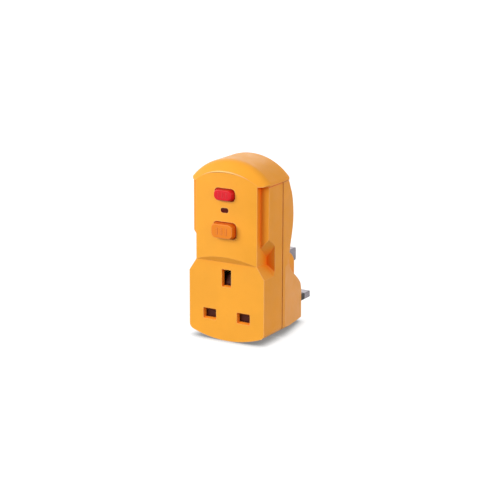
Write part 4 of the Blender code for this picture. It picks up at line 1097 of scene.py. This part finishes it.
def build_button(name, node, body, slot, z, size, proud, face):
    """A key with three ribs, a flange that holds it in the case, and a stem."""
    key = key_shape(z, size, proud, face)
    face_y = FRONT_Y - PANEL_BULGE - proud
    rib_y = [face_y + depth for depth in RIB_Y]
    rib_size = (RIB_WIDTH, size[1] * RIB_HEIGHT)
    shapes = []
    for place in (-1, 0, 1):
        centre = (place * size[0] * RIB_STEP, z)
        outline = rounded_rectangle(centre, rib_size, RIB_CORNER, steps=5)
        shapes.append(soften(slab(outline, "y", *rib_y), RIB_SOFT))
    half = [side / 2 + past for side, past in zip(size, KEY_FLANGE)]
    _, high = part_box(node)
    stem_y = (KEY_FLANGE_BACK_Y - KEY_STEM_OVERLAP, high.y / MM)
    shapes.append(bar((0, z), half, (INNER_FRONT_Y + FIT, KEY_FLANGE_BACK_Y)))
    shapes.append(rod((0, z), KEY_STEM_RADIUS, *stem_y))
    piece_of(name, carve(key, joined(*shapes)), body, slot, [node])


def build_buttons():
    test = (TEST_Z, TEST_SIZE, TEST_PROUD, TEST_FACE)
    reset = (RESET_Z, RESET_SIZE, RESET_PROUD, RESET_FACE)
    build_button("test_key_cap", "test_button", "test_key", "red", *test)
    build_button("reset_key_cap", "reset_button", "reset_key", "amber", *reset)


# Pins


def pin_rings(centre, size, levels):
    """Rounded sections of a pin at (y, width share, height share) levels."""
    rings = []
    for y, wide, tall in levels:
        shape = (size[0] * wide, size[1] * tall)
        ring = rounded_rectangle(centre, shape, PIN_CORNER, steps=5)
        rings.append([(u, y, v) for u, v in ring])
    return loft(rings)


def tip_levels(start, length, tip):
    """Levels of a tip that tapers and rounds over at its end."""
    taper, wide, tall = tip
    levels = [(start, 1, 1), (length - taper, 1, 1)]
    for share, bend in TIP_BEND:
        y = length - taper + share * taper
        levels.append((y, 1 - bend * (1 - wide), 1 - bend * (1 - tall)))
    return levels


def build_live_pin(label, side):
    """A pin with the neck, flange and tail that hold it, and its insulating sleeve."""
    centre = (side * PIN_X, 0)
    levels = tip_levels(SLEEVE_LENGTH + SLEEVE_GAP, PIN_LENGTH, PIN_TIP)
    pin = pin_rings(centre, PIN_SIZE, levels)
    neck = bar(centre, PIN_NECK, PIN_NECK_Y)
    flange = bar(centre, PIN_FLANGE, PIN_FLANGE_Y)
    tail = bar(centre, PIN_TAIL, PIN_TAIL_Y)
    pin = carve(pin, joined(neck, flange, tail))
    piece_of(label + "_pin_blade", pin, "case", "nickel", [label + "_pin"])
    end, wide, tall = SLEEVE_END
    levels = [(SLEEVE_FRONT_Y, 1, 1), (SLEEVE_LENGTH - end, 1, 1), (SLEEVE_LENGTH, wide, tall)]
    sleeve = pin_rings(centre, PIN_SIZE, levels)
    sleeve = carve(sleeve, cut(bar(centre, SLEEVE_BORE, SLEEVE_BORE_Y)))
    name = label + "_pin_sleeve"
    piece_of(name + "_tube", sleeve, "case", "black", [name])


def build_pins():
    for label, side in LIVE_PINS:
        build_live_pin(label, side)
    centre = (0, EARTH_RISE)
    earth = pin_rings(centre, EARTH_SIZE, tip_levels(PIN_ROOT_Y, EARTH_LENGTH, EARTH_TIP))
    flange = bar(centre, EARTH_FLANGE, PIN_FLANGE_Y)
    tail = bar(centre, EARTH_TAIL, PIN_TAIL_Y)
    earth = carve(earth, joined(flange, tail))
    piece_of("earth_pin_blade", earth, "case", "nickel", ["earth_pin"])


# Screws


def screw_head(centre, seat):
    """A pan head on its seat, without its cross."""
    crown_y = seat + SCREW_RIM
    profile = [(0.0, seat + FIT), (SCREW_HEAD, seat + FIT), (SCREW_HEAD, crown_y)]
    profile += [(SCREW_HEAD * out, crown_y + SCREW_RIM * rise) for out, rise in SCREW_CROWN]
    profile += [(0.0, crown_y + SCREW_RIM)]
    shape = bmesh.new()
    corners = [shape.verts.new((centre[0] + r, y, centre[1])) for r, y in profile]
    for pair in zip(corners, corners[1:]):
        shape.edges.new(pair)
    bmesh.ops.spin(
        shape,
        geom=[*shape.verts, *shape.edges],
        cent=(centre[0], 0, centre[1]),
        axis=(0, -1, 0),
        angle=2 * math.pi,
        steps=36,
        use_merge=True,
    )
    bmesh.ops.remove_doubles(shape, verts=shape.verts, dist=WELD)
    return face_out(shape)


def build_screws():
    """Pan heads with a cross recess, on plain shanks."""
    for level, x, z, seat, _ in SCREWS:
        for side, label in SIDES:
            centre = (side * x, z)
            node = f"case_screw_{level}_{label}"
            low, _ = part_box(node)
            shank_end = seat + SCREW_RIM - SCREW_OVERLAP
            shank = rod(centre, SCREW_SHANK, low.y / MM, shank_end, sides=20)
            cross_y = [seat + depth for depth in SCREW_CROSS_Y]
            cross = [bar(centre, half, cross_y) for half in (SCREW_CROSS, SCREW_CROSS[::-1])]
            head = carve(screw_head(centre, seat), joined(shank) + cut(*cross))
            piece_of(node + "_detail", head, "case", "steel", [node])


# Springs


def build_springs():
    """Springs in the shape of their solids."""
    for node, joint, axis, still, travel in SPRINGS:
        low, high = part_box(node)
        length = (getattr(high, axis) - getattr(low, axis)) / MM
        shape = bmesh.new()
        shape.from_mesh(frame["nodes"][node].data)
        bmesh.ops.scale(shape, vec=(1 / MM, 1 / MM, 1 / MM), verts=shape.verts)
        slot = "copper" if node == "test_spring" else "steel"
        spring = piece_of(node + "_wire", shape, "case", slot, [node])
        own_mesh(spring)


# Raised line


def bead(name, points):
    """A raised line through points, thinner near its ends, paler than the case: a painted
    highlight.
    """
    curve = bpy.data.curves.new(name, "CURVE")
    curve.dimensions = "3D"
    curve.bevel_depth = BEAD_RADIUS * MM
    curve.bevel_resolution = 4
    curve.use_fill_caps = True
    spline = curve.splines.new("POLY")
    spline.points.add(len(points) - 1)
    for i, (point, place) in enumerate(zip(spline.points, points)):
        share = min(i, len(points) - 1 - i) / (len(points) - 1)
        point.co = (*(value * MM for value in place), 1.0)
        point.radius = max(BEAD_THINNEST, min(1.0, share / BEAD_FADE))
    curve.materials.append(materials["bead"])
    line = add(name, curve)
    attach(line, "case")


def build_bead():
    """The raised line where the panel meets the cone."""
    radius, centre_y = panel_curve()
    cone_start = ARCH_RADIUS + LIP_PROUD - CHAMFER_BEND
    steps = 60
    points = []
    for i in range(steps + 1):
        x = -BEAD_SPAN + 2 * BEAD_SPAN * i / steps
        y = centre_y - math.sqrt(radius**2 - x**2)
        crease = cone_start - (CHAMFER_BEND_Y - y)
        z = ARCH_CENTRE_Z + math.sqrt(crease**2 - x**2)
        points.append((x, y, z + BEAD_RISE))
    bead("panel_top_bead", points)


# Finish of the solids that stay


def finish_nodes():
    """Gives each solid that stays its finish."""
    slots = {row["node"]: row["material_slot"] for row in frame["record"]["subparts"]}
    # The shutter is dark plastic, with a warm red tint that is painted bounce light from the
    # orange slot walls
    dark = ((0.075, 0.011, 0.005), (0.04, 0.006, 0.002))
    special = {
        "magnet_coil": wound_wire("coil_wire", (0.75, 0.34, 0.18)),
        "indicator_flag": flag_paint("flag_paint", (0.72, 0.02, 0.03), (0.03, 0.012, 0.012)),
        "shutter": moulded("shutter_plastic", *dark, 0.5, wear_and_highlight=0.05),
    }
    for name, node in frame["nodes"].items():
        if node.hide_render:
            continue
        material = special.get(name, materials[slots[name]])
        for holder in node.material_slots:
            holder.material = material


# Stage


def seen_rays(tree):
    """Rays that see the background: the camera's, and those that gloss and glass send."""
    path = tree.nodes.new("ShaderNodeLightPath")
    seen = path.outputs["Is Camera Ray"]
    for ray in ("Is Glossy Ray", "Is Transmission Ray"):
        either = tree.nodes.new("ShaderNodeMath")
        either.operation = "MAXIMUM"
        tree.links.new(seen, either.inputs[0])
        tree.links.new(path.outputs[ray], either.inputs[1])
        seen = either.outputs[0]
    return seen


def pale_floor():
    """White where it is open, grey in the object's shadow, and with a painted contact shadow
    where it touches.
    """
    surface = Surface("pale_floor")
    surface.set(Base_Color=FLOOR_GREY, Roughness=0.8, Emission_Color=WHITE)
    openness = surface.openness(CONTACT_REACH)
    lift = surface.node("ShaderNodeMath", operation="MULTIPLY")
    surface.link(seen_rays(surface.tree), lift.inputs[0])
    # Painted contact shadow: the floor's white dims where the object closes it in
    glow = surface.spread(openness, CONTACT_LIFT, FLOOR_LIFT, *CONTACT_RANGE)
    surface.link(glow, lift.inputs[1])
    surface.feed("Emission Strength", lift.outputs[0])
    return surface.material


def white_studio():
    """A world that lights softly, and that the camera and glossy surfaces see as white."""
    world = bpy.data.worlds.new("studio")
    world.use_nodes = True
    tree = world.node_tree
    background = fill(tree.nodes["Background"], Color=WHITE)
    level = fill(tree.nodes.new("ShaderNodeMapRange"), To_Min=WORLD_LIGHT, To_Max=1.0)
    tree.links.new(seen_rays(tree), level.inputs["Value"])
    tree.links.new(level.outputs["Result"], background.inputs["Strength"])
    return world


def bearing(azimuth, elevation):
    """A unit vector away from the object. Azimuth 0 is in front, and more is to the right."""
    turn, rise = math.radians(azimuth), math.radians(elevation)
    return Vector(
        (math.sin(turn) * math.cos(rise), -math.cos(turn) * math.cos(rise), math.sin(rise))
    )


def add_lamp(name, azimuth, elevation, distance, size, power, colour):
    """A square lamp aimed at the object."""
    away = bearing(azimuth, elevation)
    lamp = bpy.data.lights.new(name, "AREA")
    lamp.size = size
    lamp.energy = power
    lamp.color = colour
    holder = add(name, lamp)
    holder.location = Vector(LAMP_TARGET) * MM + away * distance
    holder.rotation_mode = "QUATERNION"
    holder.rotation_quaternion = away.to_track_quat("Z", "Y")


def build_stage():
    floor_mesh = bpy.data.meshes.new("floor")
    low = (BOTTOM_Z - FLOOR_GAP) * MM
    signs = ((-1, -1), (1, -1), (1, 1), (-1, 1))
    corners = [(x * FLOOR_REACH, y * FLOOR_REACH, low) for x, y in signs]
    floor_mesh.from_pydata(corners, [], [(0, 1, 2, 3)])
    floor_mesh.materials.append(pale_floor())
    floor = add("floor", floor_mesh)
    bpy.context.scene.world = white_studio()
    for lamp in LAMPS:
        add_lamp(*lamp)


def build_camera():
    data = bpy.data.cameras.new("camera")
    data.lens = CAMERA_LENS
    data.sensor_width = CAMERA_SENSOR
    data.clip_start, data.clip_end = CAMERA_CLIP
    camera = add("camera", data)
    back = bearing(CAMERA_AZIMUTH, CAMERA_ELEVATION)
    right = Vector((0, 0, 1)).cross(back).normalized()
    up = back.cross(right)
    turn = Matrix((right, up, back)).transposed()
    turn = turn @ Matrix.Rotation(math.radians(CAMERA_ROLL), 3, "Z")
    place = (Vector(CAMERA_TARGET) + back * CAMERA_DISTANCE) * MM
    camera.matrix_world = Matrix.Translation(place) @ turn.to_4x4()
    bpy.context.scene.camera = camera


build_camera()
build_front_shell()
build_rear_shell()
build_buttons()
build_pins()
build_screws()
build_springs()
build_bead()
finish_nodes()
build_stage()
bpy.context.scene.view_settings.view_transform = "Standard"
